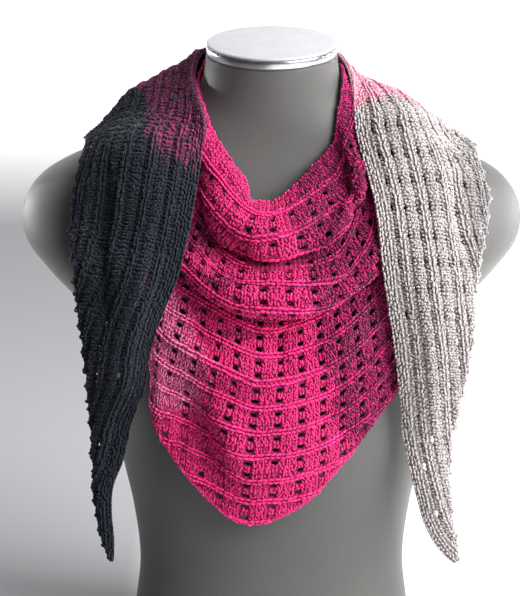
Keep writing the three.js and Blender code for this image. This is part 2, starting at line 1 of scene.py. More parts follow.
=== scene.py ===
"""Triangle scarf in a holed rib knit, worn on a limbless bust form. Metres, +Z up, front towards -Y."""
import math
import bpy
import numpy as np
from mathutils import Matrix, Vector


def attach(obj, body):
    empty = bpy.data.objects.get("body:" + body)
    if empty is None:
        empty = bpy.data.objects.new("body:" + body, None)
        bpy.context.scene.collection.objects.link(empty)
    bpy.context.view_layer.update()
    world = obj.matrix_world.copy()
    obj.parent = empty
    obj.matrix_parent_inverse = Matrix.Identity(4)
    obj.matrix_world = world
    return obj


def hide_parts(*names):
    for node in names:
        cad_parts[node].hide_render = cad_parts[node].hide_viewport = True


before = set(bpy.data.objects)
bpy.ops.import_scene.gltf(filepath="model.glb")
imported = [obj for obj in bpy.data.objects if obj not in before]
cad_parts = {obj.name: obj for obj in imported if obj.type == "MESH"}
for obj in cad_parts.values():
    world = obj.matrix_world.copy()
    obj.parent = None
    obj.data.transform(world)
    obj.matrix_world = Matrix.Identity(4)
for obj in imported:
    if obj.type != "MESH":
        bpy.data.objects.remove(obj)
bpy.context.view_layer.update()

RNG = np.random.default_rng(20240611)
MM = 0.001

# ------------------------------------------------------------------ sizes (mm)
REPEAT_S = 23.8      # one repeat of the knit along the long edge
REPEAT_W = 25.2      # one repeat across the scarf
FIRST_RIB = 22.6     # long edge to the middle of the first rib
BAND = 12.4          # plain corded band along the long edge
CORDS = (1.5, 4.45, 7.4, 10.35)  # its cords
HOLE_S = (8.2, 15.6)            # where a hole lies in the repeat, along the scarf
HOLE_W = ((5.6, 10.2), (16.6, 21.8))  # and across it, from one rib to the next
SLIT_W = ((5.2, 8.3), (17.2, 20.4))  # the same where the cloth hangs slack and closes up
WALE = 5.3           # pitch of the stitch columns
COURSE = 3.45        # pitch of the stitches in a column
YARN = 1.12          # half width of the yarn
SKIN_UP, SKIN_DOWN = 0.3, 1.9  # ground web over and under the cloth's middle surface

FORM = np.array([  # height, half width, half depth, centre offset, squareness
    (0, 143, 101, 0, 2.3), (40, 139, 97, 0, 2.3), (90, 134, 93, 1, 2.3), (147, 140, 99, 1, 2.3),
    (195, 150, 108, 0, 2.3), (255, 160, 115, 0, 2.3), (312, 173, 117, 2, 2.3), (352, 188, 115, 5, 2.3),
    (388, 222, 109, 8, 2.2), (415, 243, 102, 11, 2.15), (440, 248, 95, 13, 2.1), (465, 241, 87, 15, 2.1),
    (486, 222, 80, 17, 2.1), (503, 190, 75, 18, 2.1), (517, 155, 71, 17, 2.1), (531, 122, 68, 14, 2.1),
    (546, 95, 66, 10, 2.0), (562, 77, 64, 5, 2.0), (582, 67, 63, -1, 2.0), (604, 64, 63, -6, 2.0),
    (640, 63.5, 63.5, -12, 2.0)], float)
NECK_TOP_Z, NECK_TILT, NECK_RADIUS = 602.2, 9.4, 63.8
COLLAR_HEIGHT, CAP_HEIGHT, SEAM_GAP = 8.2, 2.6, 0.3

# Sections of each stretch of cloth: five points across, from the long edge out
TAIL_PALE = [
    ((178.6, -88, 109), (180.9, -88.4, 109.9), (182.9, -88.5, 110.9), (184.1, -87.9, 111.8), (185, -87, 112.8)),
    ((163.3, -91, 124.5), (169.4, -91.7, 126.1), (174.8, -91.6, 127.9), (178.9, -90.1, 129.7), (182.1, -88, 131.7)),
    ((148.9, -95, 151.4), (158.5, -96.8, 152.1), (166.4, -96.1, 153.1), (172.1, -93.4, 154.5), (177.1, -90, 155.9)),
    ((136.2, -100, 197.7), (149.8, -103.5, 196.3), (160, -102, 195.6), (167.5, -97.6, 195.3), (173.3, -92, 195.3)),
    ((127.3, -94.1, 241.3), (139, -100.1, 242.2), (150.9, -102.1, 242), (163.3, -98.1, 240.1), (176.2, -89.1, 236.9)),
    ((122.1, -106.6, 287.5), (137.4, -113.6, 290.8), (153, -115.6, 292.8), (169.1, -110.6, 293), (185.8, -100.6, 291.9)),
    ((115.4, -112, 339.9), (134, -118, 340.9), (152.8, -120, 340.8), (172.3, -114, 338.9), (192.4, -103, 335.9)),
    ((107.6, -114.1, 386.1), (128.7, -119.1, 387.4), (150, -120.1, 387.8), (171.9, -113.1, 386.6), (194.6, -100.1, 384.1)),
    ((102.4, -104.7, 428.6), (126.6, -107.7, 428.4), (151, -107.7, 427.7), (176.1, -98.7, 425.3), (202.2, -82.7, 421.5)),
    ((97.5, -87.3, 468.9), (123.8, -87.3, 469.8), (152.6, -83.5, 470.1), (182.1, -72.9, 466.4), (208.9, -45.8, 458)),
    ((87.7, -67.9, 504.3), (114.7, -71.2, 508.7), (145.7, -64.2, 510.5), (177.3, -53.9, 504.2), (202.8, -32, 489.2)),
    ((80.3, -56.3, 531.6), (107.3, -60.2, 539.8), (136.2, -57.1, 540.4), (171.8, 2, 524.8), (197, 20, 511.5)),
    ((78.5, -32.2, 557.3), (99.7, -14, 563.2), (126.7, 12, 559.1), (156.5, 38, 537), (190, 56, 504.6)),
    ((77.7, -9.1, 576.8), (89.2, 16, 573.5), (112.4, 42, 562.6), (150, 78, 525.1), (172, 91.2, 452)),
    ((71.9, 13.5, 592.8), (78, 34, 581.4), (104, 70, 548), (128, 103.9, 478), (134, 109.7, 392)),
    ((59, 37.3, 601.6), (68, 49.4, 574), (72, 102.6, 516), (82, 116.9, 440), (84, 122.3, 360)),
    ((41.6, 55.5, 594.8), (46, 68.2, 566), (36, 102.7, 512), (36, 118.5, 440), (34, 128.1, 352)),
    ((16.8, 68.1, 587.2), (16.9, 79.3, 558), (8, 101.3, 510), (-6, 117.2, 440), (-22, 128.1, 364)),
    ((-5, 72.1, 579.4), (-8.7, 82.8, 552.4), (-16, 100.7, 508), (-34, 114.2, 450.1), (-60, 122.9, 392)),
]
TAIL_DARK = [
    ((-154.9, -90, 113.8), (-156.1, -90.1, 113.7), (-157.3, -90.2, 113.6), (-157.9, -89.6, 113.6), (-158.4, -89, 113.5)),
    ((-154, -92, 134.1), (-157.8, -92.2, 133.5), (-161.6, -92.5, 133), (-164, -91.2, 132.7), (-166.4, -90, 132.4)),
    ((-155.9, -94, 159.3), (-161, -94.7, 158.8), (-165.4, -94.7, 158.4), (-168.5, -93.2, 158.3), (-170.8, -91, 158.3)),
    ((-154.4, -96, 189.4), (-161.3, -96.9, 188.6), (-167.5, -97.1, 188), (-171.1, -94.3, 187.9), (-173.8, -91, 187.8)),
    ((-142.5, -100, 219.8), (-154.3, -102.3, 219.4), (-163.8, -101.4, 219.4), (-169.8, -96.8, 219.7), (-174.2, -91, 220.3)),
    ((-135.6, -86.7, 254.3), (-145.4, -92.7, 256.4), (-155.4, -94.7, 257.5), (-165.9, -90.7, 256.9), (-176.8, -81.7, 255)),
    ((-120.6, -105.6, 295.1), (-134.4, -112.6, 297.9), (-148.4, -114.6, 299.4), (-163, -109.6, 299.1), (-178.2, -97.6, 297.1)),
    ((-117.1, -110.6, 324.9), (-132.3, -118.6, 329.3), (-147.8, -120.6, 332.2), (-163.9, -114.6, 333.2), (-180.7, -100.6, 332.4)),
    ((-104.6, -114.1, 362.8), (-124.2, -120.1, 365.9), (-144, -121.1, 367.8), (-164.3, -114.1, 367.9), (-185.6, -98.1, 366.1)),
    ((-90, -117, 397.3), (-114, -121, 401), (-138.1, -121, 403.9), (-162.9, -111, 404.8), (-188.9, -91, 403.7)),
    ((-79.1, -109.8, 438.2), (-105.7, -105.8, 443.2), (-134.5, -96.5, 445.4), (-163.9, -84.8, 445.2), (-193.8, -59.1, 440.7)),
    ((-71.1, -85.3, 480.1), (-96.6, -87.1, 484.2), (-125.2, -85.3, 485.8), (-156.4, -73.8, 485.9), (-189.4, -45.7, 479.5)),
    ((-66.1, -68.2, 514), (-91.2, -71.8, 520.3), (-117.9, -70.6, 524), (-151.2, -57.7, 522.2), (-183.2, -20.8, 509.1)),
    ((-62.8, -61.6, 540), (-86.5, -40, 546.9), (-112.7, -16, 547.8), (-145.6, 10, 542.5), (-182, 34, 516.9)),
    ((-71.3, -35, 565.2), (-83.7, -6, 570.1), (-110.4, 22, 568.9), (-143.6, 44, 557.4), (-176, 72, 503.4)),
    ((-75.6, -7.4, 583.6), (-80.7, 24, 586.5), (-106.6, 50, 577.7), (-144, 86, 531.1), (-158, 100.4, 444)),
    ((-70.1, 16.6, 598.5), (-75.1, 40, 598.7), (-92, 78, 562), (-118, 110.7, 484), (-118, 118.4, 384)),
    ((-55.3, 40.5, 606.5), (-64.8, 50.6, 584), (-66, 105.8, 530), (-72, 124.2, 440), (-66, 131.6, 350)),
    ((-32.9, 57.5, 608.7), (-39.3, 68, 586), (-28, 109.4, 524), (-24, 127.2, 440), (-16, 137, 344)),
    ((-2.3, 65.1, 609.7), (-2.6, 75.6, 589), (12, 109, 524), (20, 126.4, 444), (28, 136.2, 358)),
    ((24.4, 60.9, 609.7), (28.8, 67.8, 595), (42, 103.5, 536), (60, 121.8, 468), (74, 130.7, 400)),
    ((42.7, 51.4, 609.6), (46.4, 51.6, 602), (72, 60.4, 580), (64, 114.3, 528), (70, 124.9, 486)),
    ((54.1, 41.2, 609.6), (56.2, 39.6, 606.3), (62.2, 41.9, 600), (72.4, 47, 591), (82.6, 51.6, 582)),
]
FRONT_PANEL = [
    ((-138.2, -66.2, 455.6), (-137.9, -75.9, 432), (-135.7, -84.1, 410.1), (-132.8, -91.3, 384.2), (-130.2, -92.1, 357)),
    ((-120.4, -82.1, 421.4), (-120.2, -91.3, 397.9), (-118.2, -98.4, 372.1), (-116.3, -102.7, 343.7), (-116.8, -100.6, 315.6)),
    ((-95.2, -93.1, 402.2), (-100.7, -105.2, 373.5), (-104.3, -114.7, 344.5), (-108.4, -115.4, 311.4), (-110.5, -101.8, 264.4)),
    ((-68.3, -100.3, 391.9), (-71.9, -115.4, 360.2), (-79.4, -124, 327.2), (-89.7, -112.1, 281), (-89.6, -105.1, 219.3)),
    ((-37.8, -106, 385.4), (-39.6, -123.8, 346.6), (-43.4, -131.3, 307.5), (-52.3, -121.1, 251.8), (-59.8, -108.1, 177.9)),
    ((-5.5, -108, 381.9), (-7.4, -127, 333.7), (-11.2, -132.8, 286.4), (-17, -127, 223.7), (-22, -111.3, 156.2)),
    ((26.8, -106.5, 385.5), (28.6, -124.4, 340.9), (29.6, -129.9, 293.5), (28.9, -126.9, 239.5), (25.4, -113, 173.4)),
    ((57.3, -102.4, 392.4), (60.8, -118.3, 353.1), (64.8, -122.9, 311.3), (66.1, -121.3, 267.6), (65.8, -113.2, 214.7)),
    ((84.2, -93.4, 406.1), (90.5, -107.8, 372.1), (95.4, -111.7, 336), (99.7, -110, 298.2), (102.3, -104.6, 262.1)),
    ((107.4, -83.9, 423.7), (113.8, -94.8, 394.7), (118.7, -98.8, 364.3), (122, -98.1, 330.8), (124.8, -93.3, 290)),
    ((126.9, -73.4, 443.2), (132.4, -81.7, 417.5), (137.2, -87.5, 393.2), (140.5, -87.6, 365.8), (143.2, -82.8, 333.1)),
]
COWL_LOWER = [
    ((-99.8, -54.9, 496.6), (-107.3, -62.6, 480.3), (-113.7, -71.4, 466.2), (-118.5, -76, 449.5), (-116.6, -75.7, 443.6)),
    ((-78.5, -59.8, 493.4), (-87.8, -73.6, 464.6), (-94, -90.6, 444.3), (-98.8, -93.5, 424.6), (-94.2, -89.1, 423.7)),
    ((-61.1, -69.1, 477.5), (-69.4, -86.8, 441.7), (-77.4, -107.5, 420.5), (-83.2, -108.2, 401.3), (-77.8, -100.6, 403.7)),
    ((-43.7, -81.4, 452.4), (-50.1, -98.8, 424.6), (-58, -128.3, 407.3), (-62, -124.2, 384.4), (-55.8, -109.1, 387.9)),
    ((-22.7, -89.1, 434.4), (-26.3, -108.8, 414.9), (-29.8, -141, 397.5), (-29.9, -136.2, 370.6), (-26.3, -116.5, 376)),
    ((4, -91.4, 429), (4.9, -111.8, 413.6), (5.7, -145.6, 394.6), (7.6, -138.6, 367.3), (5.8, -118.6, 373.5)),
    ((32.6, -90.5, 432.7), (37.1, -109, 416), (40.3, -139.5, 397.2), (44.3, -133.4, 370), (39, -116.8, 376)),
    ((55.6, -83.1, 448.8), (65.7, -99.6, 424.8), (73.5, -123.9, 406.4), (79.5, -118.5, 389.9), (73.3, -106.5, 390.3)),
    ((67.3, -69.4, 475.6), (84.1, -87.7, 443.8), (98.9, -100.6, 423), (107.8, -97.3, 408.8), (101.3, -94.1, 407.2)),
    ((69.5, -56.5, 504.6), (89.3, -71.6, 474), (109.1, -81, 452.3), (118.7, -84.3, 435.5), (115.9, -84, 431.5)),
    ((77.3, -46.9, 524.5), (90.7, -52.4, 507.9), (107.8, -63.1, 486.2), (121, -70.4, 468), (120, -71.8, 462.4)),
    ((112, -20, 532.9), (118, -22, 529.4), (126, -24, 526.8), (136, -26, 522), (139, -28, 519.1)),
]
COWL_UPPER = [
    ((-41.2, 49, 597), (-43.5, 51.9, 586), (-48.2, 55.5, 574), (-53, 58.8, 562), (-56.2, 60.3, 556)),
    ((-66.4, 16.6, 592), (-72.7, 18.1, 580), (-82, 18.9, 568), (-92.4, 19.6, 557), (-95.5, 20.3, 551)),
    ((-61.3, -47.3, 544), (-64.1, -50.8, 540.5), (-67.4, -53.7, 535.1), (-71.3, -52.8, 530.2), (-72.8, -50.1, 526.9)),
    ((-55.4, -54.1, 529.4), (-59.1, -59.3, 524.3), (-63.4, -62, 517.9), (-67.7, -62.6, 511.3), (-70.8, -58.5, 506.8)),
    ((-40.9, -65.6, 507.9), (-49.3, -75.2, 499.7), (-56.8, -82.6, 491.2), (-63.6, -81.9, 481.5), (-65.7, -75, 474.5)),
    ((-28.4, -79.4, 486.8), (-37.7, -96.2, 478), (-47, -105.5, 468.1), (-57.5, -100.5, 453.8), (-60.7, -88.9, 446.9)),
    ((-17.8, -87.8, 473.7), (-22.4, -109.8, 462.1), (-29.9, -120.8, 446.9), (-38.5, -114.8, 429.6), (-39.6, -102.1, 429.1)),
    ((-0.8, -90.2, 468.4), (-1.7, -115.1, 457.3), (-1.8, -127.5, 441.5), (-1.7, -123.3, 419.7), (-1.7, -107.2, 423.3)),
    ((17.3, -82.3, 478.6), (21.9, -103.9, 465.9), (30.2, -117.8, 449.2), (37.8, -115.8, 429.7), (34.3, -102.3, 429.1)),
    ((31.8, -71.7, 492.4), (42, -85.2, 480), (55, -100.2, 463.4), (67.3, -104.6, 446.9), (65.9, -91.2, 442.5)),
    ((48.2, -59.4, 508.9), (57.7, -65.1, 499.1), (69.8, -78.7, 484.8), (80.8, -93, 470.8), (83.1, -83.5, 463.4)),
    ((59.8, -52.6, 523.4), (65.6, -55.6, 517), (72.9, -65.4, 507.8), (81.2, -77, 496.1), (84.4, -70, 491.1)),
    ((62.8, -46, 543.8), (66.6, -48.9, 538.4), (70.3, -53.9, 531.3), (75, -58.7, 523.3), (77.1, -55, 519.9)),
    ((68.5, -22.2, 580), (72.5, -23.6, 570), (79.9, -24.4, 561), (88.1, -25.3, 553), (90.1, -25.8, 548)),
    ((66.3, 16.5, 590), (70, 17.4, 580), (75.5, 18.8, 570), (83.1, 20.7, 560), (87.8, 21.9, 555)),
]

# ------------------------------------------------------------------ form and cloth surfaces
def _slopes(tab):
    x, y = tab[:, 0], tab[:, 1:]
    s = (y[1:] - y[:-1]) / (x[1:] - x[:-1])[:, None]
    m = np.zeros_like(y)
    m[1:-1] = (s[1:] + s[:-1]) / 2
    m[0], m[-1] = s[0], s[-1]
    return m


FORM_SLOPES = _slopes(FORM)


def form_section(z):
    x = FORM[:, 0]
    z = np.clip(z, x[0], x[-1])
    i = np.clip(np.searchsorted(x, z, side="right") - 1, 0, len(x) - 2)
    h = x[i + 1] - x[i]
    t = ((z - x[i]) / h)[..., None]
    h = h[..., None]
    y0, y1, m0, m1 = FORM[i, 1:], FORM[i + 1, 1:], FORM_SLOPES[i], FORM_SLOPES[i + 1]
    return ((2 * t**3 - 3 * t**2 + 1) * y0 + (t**3 - 2 * t**2 + t) * h * m0
            + (-2 * t**3 + 3 * t**2) * y1 + (t**3 - t**2) * h * m1)


def form_field(p):
    q = form_section(p[..., 2])
    a, b, yc, n = (q[..., k] for k in range(4))
    return ((np.abs(p[..., 0] / a) ** n + np.abs((p[..., 1] - yc) / b) ** n) ** (1 / n) - 1) * b


def form_distance(p):
    f = form_field(p)
    g = np.stack([(form_field(p + d) - form_field(p - d)) for d in np.eye(3) * 0.5], -1)
    size = np.linalg.norm(g, axis=-1) + 1e-9
    return f / size, g / size[..., None]


def lift_off(p, clear, rounds=6):
    for _ in range(rounds):
        d, away = form_distance(p)
        p = p + away * np.clip(clear - d, 0, 60)[..., None]
    return p


def through(points, t):
    """Catmull-Rom through points (n, ...) at t from 0 to n - 1."""
    n = len(points)
    t = np.clip(np.asarray(t, float), 0, n - 1 - 1e-9)
    i = t.astype(int)
    f = (t - i).reshape(-1, *[1] * (points.ndim - 1))
    p1, p2 = points[i], points[i + 1]
    low = (i > 0).reshape(f.shape)
    high = (i < n - 2).reshape(f.shape)
    p0 = np.where(low, points[np.maximum(i - 1, 0)], 2 * p1 - p2)
    p3 = np.where(high, points[np.minimum(i + 2, n - 1)], 2 * p2 - p1)
    return 0.5 * (2 * p1 + (p2 - p0) * f + (2 * p0 - 5 * p1 + 4 * p2 - p3) * f**2 + (3 * p1 - p0 - 3 * p2 + p3) * f**3)


def unit(v):
    return v / (np.linalg.norm(v, axis=-1, keepdims=True) + 1e-12)


class Cloth:
    """A stretch of cloth as a dense grid of its middle surface, read by s (mm along the scarf) and w (mm from the long edge)."""

    def __init__(self, rows, clear, s_column=0, s_from=0.0, w_start=0.0, s_back=False, creases=(), nu=300, nv=96):
        rows = np.array(rows, float)
        step = np.linalg.norm(rows[1:] - rows[:-1], axis=-1).mean(1)
        run = np.concatenate([[0], np.cumsum(step)])
        tt = np.interp(np.linspace(0, run[-1], nu), run, np.arange(len(rows)))
        across = through(rows, tt)
        fine = through(across.transpose(1, 0, 2), np.linspace(0, rows.shape[1] - 1, 64)).transpose(1, 0, 2)
        seg = np.linalg.norm(fine[:, 1:] - fine[:, :-1], axis=-1)
        arc = np.concatenate([np.zeros((nu, 1)), np.cumsum(seg, 1)], 1)
        grid = np.zeros((nu, nv, 3))
        for k in range(nu):
            want = np.linspace(0, arc[k, -1], nv)
            for c in range(3):
                grid[k, :, c] = np.interp(want, arc[k], fine[k, :, c])
        grid = lift_off(grid, clear)
        for _ in range(14):
            sm = grid.copy()
            sm[1:-1] = 0.5 * grid[1:-1] + 0.25 * (grid[:-2] + grid[2:])
            sm[:, 1:-1] = 0.5 * sm[:, 1:-1] + 0.25 * (sm[:, :-2] + sm[:, 2:])
            grid = lift_off(sm, clear, 1)
        self.nu, self.nv = nu, nv
        self.grid = grid
        # which way is out: away from the form on average
        n = self._normals(grid)
        _, away = form_distance(grid)
        self.side = 1.0 if (n * away).sum() > 0 else -1.0
        for crease in creases:
            self._press(crease)
        self.grid = lift_off(self.grid, clear)
        for _ in range(4):
            sm = self.grid.copy()
            sm[1:-1] = 0.5 * self.grid[1:-1] + 0.25 * (self.grid[:-2] + self.grid[2:])
            sm[:, 1:-1] = 0.5 * sm[:, 1:-1] + 0.25 * (sm[:, :-2] + sm[:, 2:])
            self.grid = lift_off(sm, clear, 1)
        self.normal = self._normals(self.grid) * self.side
        g = self.grid
        col = g[:, int(round(s_column * (nv - 1)))]
        s = np.concatenate([[0], np.cumsum(np.linalg.norm(col[1:] - col[:-1], axis=-1))])
        self.s = s_from + s if not s_back else s_from + s[-1] - s
        self.length = np.linalg.norm(g[:, 1:] - g[:, :-1], axis=-1).sum(1)
        k = np.ones(9) / 9
        self.length = np.convolve(np.pad(self.length, 4, mode="edge"), k, mode="valid")
        if np.ndim(w_start):
            self.w0 = np.interp(tt, np.arange(len(rows)), w_start)
            self.w0 = np.convolve(np.pad(self.w0, 12, mode="edge"), np.ones(25) / 25, mode="valid")
        else:
            self.w0 = np.full(nu, float(w_start))
        self.s_low, self.s_high = float(self.s.min()), float(self.s.max())

    def _normals(self, g):
        return unit(np.cross(np.gradient(g, axis=0), np.gradient(g, axis=1)))

    def _press(self, crease):
        """A soft trough (depth below 0) or ridge along a line of (x, z) points on the front, or on the back."""
        line, width, depth, where = crease
        line = np.array(line, float)
        g = self.grid
        p = g[..., [0, 2]]
        best = np.full(p.shape[:2], 1e9)
        along = np.zeros(p.shape[:2])
        total = np.linalg.norm(line[1:] - line[:-1], axis=1).sum()
        done = 0.0
        for a, b in zip(line[:-1], line[1:]):
            ab = b - a
            size = np.linalg.norm(ab)
            t = np.clip(((p - a) @ ab) / size**2, 0, 1)
            d = np.linalg.norm(p - (a + t[..., None] * ab), axis=-1)
            closer = d < best
            best = np.where(closer, d, best)
            along = np.where(closer, (done + t * size) / total, along)
            done += size
        fade = np.sin(np.clip(along, 0.02, 0.98) * math.pi) ** 0.6
        amount = depth * fade * np.exp(-((best / width) ** 2))
        front = g[..., 1] < 0 if where == "front" else g[..., 1] > 20
        n = self._normals(g) * self.side
        self.grid = g + n * np.where(front, amount, 0)[..., None]

    def uf(self, s):
        order = self.s if self.s[0] < self.s[-1] else self.s[::-1]
        f = np.interp(s, order, np.arange(self.nu))
        return f if self.s[0] < self.s[-1] else self.nu - 1 - f

    def span(self, s):
        """(lowest, highest) w at s."""
        u = self.uf(s)
        k = np.arange(self.nu)
        lo = np.interp(u, k, self.w0)
        return lo, lo + np.interp(u, k, self.length)

    def _read(self, field, u, v):
        i = np.clip(u.astype(int), 0, self.nu - 2)
        j = np.clip(v.astype(int), 0, self.nv - 2)
        a, b = (u - i)[..., None], (v - j)[..., None]
        return ((1 - a) * (1 - b) * field[i, j] + a * (1 - b) * field[i + 1, j]
                + (1 - a) * b * field[i, j + 1] + a * b * field[i + 1, j + 1])

    def at(self, s, w):
        """(point, outward normal) at s, w. Past the last column the cloth runs straight on."""
        s, w = np.broadcast_arrays(np.asarray(s, float), np.asarray(w, float))
        u = self.uf(s)
        lo, hi = self.span(s)
        v = (w - lo) / (hi - lo) * (self.nv - 1)
        n = unit(self._read(self.normal, u, np.clip(v, 0, self.nv - 1)))
        return self._read(self.grid, u, v), n

    def frame_at(self, s, w):
        """(point, direction along s, direction along w, outward normal)."""
        p, n = self.at(s, w)
        e = 1.5
        ds = unit(self.at(np.clip(s + e, self.s_low, self.s_high), w)[0] - self.at(np.clip(s - e, self.s_low, self.s_high), w)[0])
        dw = unit(self.at(s, w + e)[0] - self.at(s, w - e)[0])
        ds = unit(ds - n * (ds * n).sum(-1, keepdims=True))
        dw = unit(dw - n * (dw * n).sum(-1, keepdims=True))
        return p, ds, dw, n


# ------------------------------------------------------------------ mesh helpers
def new_mesh(name, verts_mm, polys, attributes=None, uvs=None, smooth=True):
    """A mesh object from arrays: polys is (n, 4) with -1 as the fourth index of a triangle. uvs maps a name to loop coordinates."""
    verts = np.asarray(verts_mm, np.float32) * MM
    polys = np.asarray(polys, np.int64)
    tri = polys[:, 3] < 0
    counts = np.where(tri, 3, 4)
    loops = polys[polys >= 0] if not tri.any() else np.concatenate(polys)[np.concatenate(polys) >= 0]
    me = bpy.data.meshes.new(name)
    me.vertices.add(len(verts))
    me.vertices.foreach_set("co", verts.ravel())
    me.loops.add(len(loops))
    me.loops.foreach_set("vertex_index", loops.astype(np.int32))
    me.polygons.add(len(polys))
    starts = np.concatenate([[0], np.cumsum(counts)[:-1]])
    me.polygons.foreach_set("loop_start", starts.astype(np.int32))
    me.polygons.foreach_set("loop_total", counts.astype(np.int32))
    for key, values in (attributes or {}).items():
        a = me.attributes.new(key, "FLOAT", "POINT")
        a.data.foreach_set("value", np.asarray(values, np.float32))
    for key, values in (uvs or {}).items():
        layer = me.uv_layers.new(name=key)
        layer.data.foreach_set("uv", np.asarray(values, np.float32).ravel())
    me.update(calc_edges=True)
    me.validate(clean_customdata=False)
    me.polygons.foreach_set("use_smooth", np.full(len(me.polygons), smooth))
    ob = bpy.data.objects.new(name, me)
    bpy.context.scene.collection.objects.link(ob)
    return ob


# A stitch leg: a plump spindle of yarn. Columns: along, across, up; rings of five between two tips
RINGS = ((-0.58, 0.86), (0.0, 1.0), (0.58, 0.86))
SIDES = 5


def leg_template():
    v = [(-1.0, 0.0, 0.0)]
    for t, r in RINGS:
        for k in range(SIDES):
            a = 2 * math.pi * k / SIDES + math.pi / 2
            v.append((t, r * math.cos(a), r * math.sin(a)))
    v.append((1.0, 0.0, 0.0))
    last = len(v) - 1
    polys, uv = [], []
    x = [0.5 + 0.5 * t for t, _ in RINGS]
    for k in range(SIDES):
        n = (k + 1) % SIDES
        polys.append((0, 1 + n, 1 + k, -1))
        uv += [(0.0, (k + 0.5) / SIDES), (x[0], (k + 1) / SIDES), (x[0], k / SIDES)]
    for r in range(len(RINGS) - 1):
        for k in range(SIDES):
            n = (k + 1) % SIDES
            a = 1 + r * SIDES
            polys.append((a + k, a + n, a + SIDES + n, a + SIDES + k))
            uv += [(x[r], k / SIDES), (x[r], (k + 1) / SIDES), (x[r + 1], (k + 1) / SIDES), (x[r + 1], k / SIDES)]
    a = 1 + (len(RINGS) - 1) * SIDES
    for k in range(SIDES):
        n = (k + 1) % SIDES
        polys.append((a + k, a + n, last, -1))
        uv += [(x[-1], k / SIDES), (x[-1], (k + 1) / SIDES), (1.0, (k + 0.5) / SIDES)]
    return np.array(v), np.array(polys), np.array(uv)


LEG_V, LEG_P, LEG_UV = leg_template()


def leg_mesh(name, legs):
    """legs: centre, axis, normal (n, 3); half length, half width, half height, tone, shade (n,)."""
    c, axis, normal = legs["c"], unit(legs["axis"]), legs["n"]
    side = unit(np.cross(normal, axis))
    up = unit(np.cross(axis, side))
    n = len(c)
    bow = (1 - LEG_V[:, 0] ** 2)  # each leg arches a little over the web
    v = (c[:, None] + LEG_V[None, :, :1] * (axis * legs["l"][:, None])[:, None]
         + LEG_V[None, :, 1:2] * (side * legs["b"][:, None])[:, None]
         + (LEG_V[None, :, 2:3] * legs["h"][:, None, None] + 0.32 * bow[None, :, None] * legs["h"][:, None, None]) * up[:, None])
    m = len(LEG_V)
    p = LEG_P[None] + np.where(LEG_P[None] >= 0, (np.arange(n) * m)[:, None, None], 0)
    # bake map: one tile a leg; ply map: millimetres along, turns around, offset at random
    cols = int(math.ceil(math.sqrt(n)))
    tile = np.stack([np.arange(n) % cols, np.arange(n) // cols], -1)[:, None]
    bake = (tile + 0.04 + 0.92 * LEG_UV[None]) / cols
    ply = np.stack([LEG_UV[None, :, 0] * 2 * legs["l"][:, None] + 37 * legs["shade"][:, None],
                    np.broadcast_to(LEG_UV[None, :, 1], (n, len(LEG_UV)))], -1)
    # painted shade: each leg is darker on its sides and underside and at its tips, and darker again in the knit's
    # grooves
    depth = np.clip(0.5 + 0.5 * LEG_V[:, 2] + 0.12 * (1 - np.abs(LEG_V[:, 0])), 0, 1) * (1 - 0.55 * (np.abs(LEG_V[:, 0]) > 0.99))
    return new_mesh(name, v.reshape(-1, 3), p.reshape(-1, 4),
                    {"tone": np.repeat(legs["tone"], m), "shade": np.repeat(legs["shade"], m),
                     "lit": np.repeat(legs["lit"], m), "depth": np.tile(depth, n) * np.repeat(legs["cavity"], m)},
                    {"OFBake": bake.reshape(-1, 2), "ply": ply.reshape(-1, 2)})


# ------------------------------------------------------------------ the knit
def bump_edge(s, pitch, height, seed):
    """A picot edge: rounded points of uneven height and spacing."""
    k = np.arange(-4, 120)
    r = np.random.default_rng(seed)
    at = k * pitch + r.uniform(-0.18, 0.18, len(k)) * pitch
    tall = height * r.uniform(0.55, 1.15, len(k))
    d = np.abs(s[:, None] - at[None]) / (pitch * 0.42)
    return (tall * np.clip(1 - d**2, 0, 1) ** 1.5).max(1), at


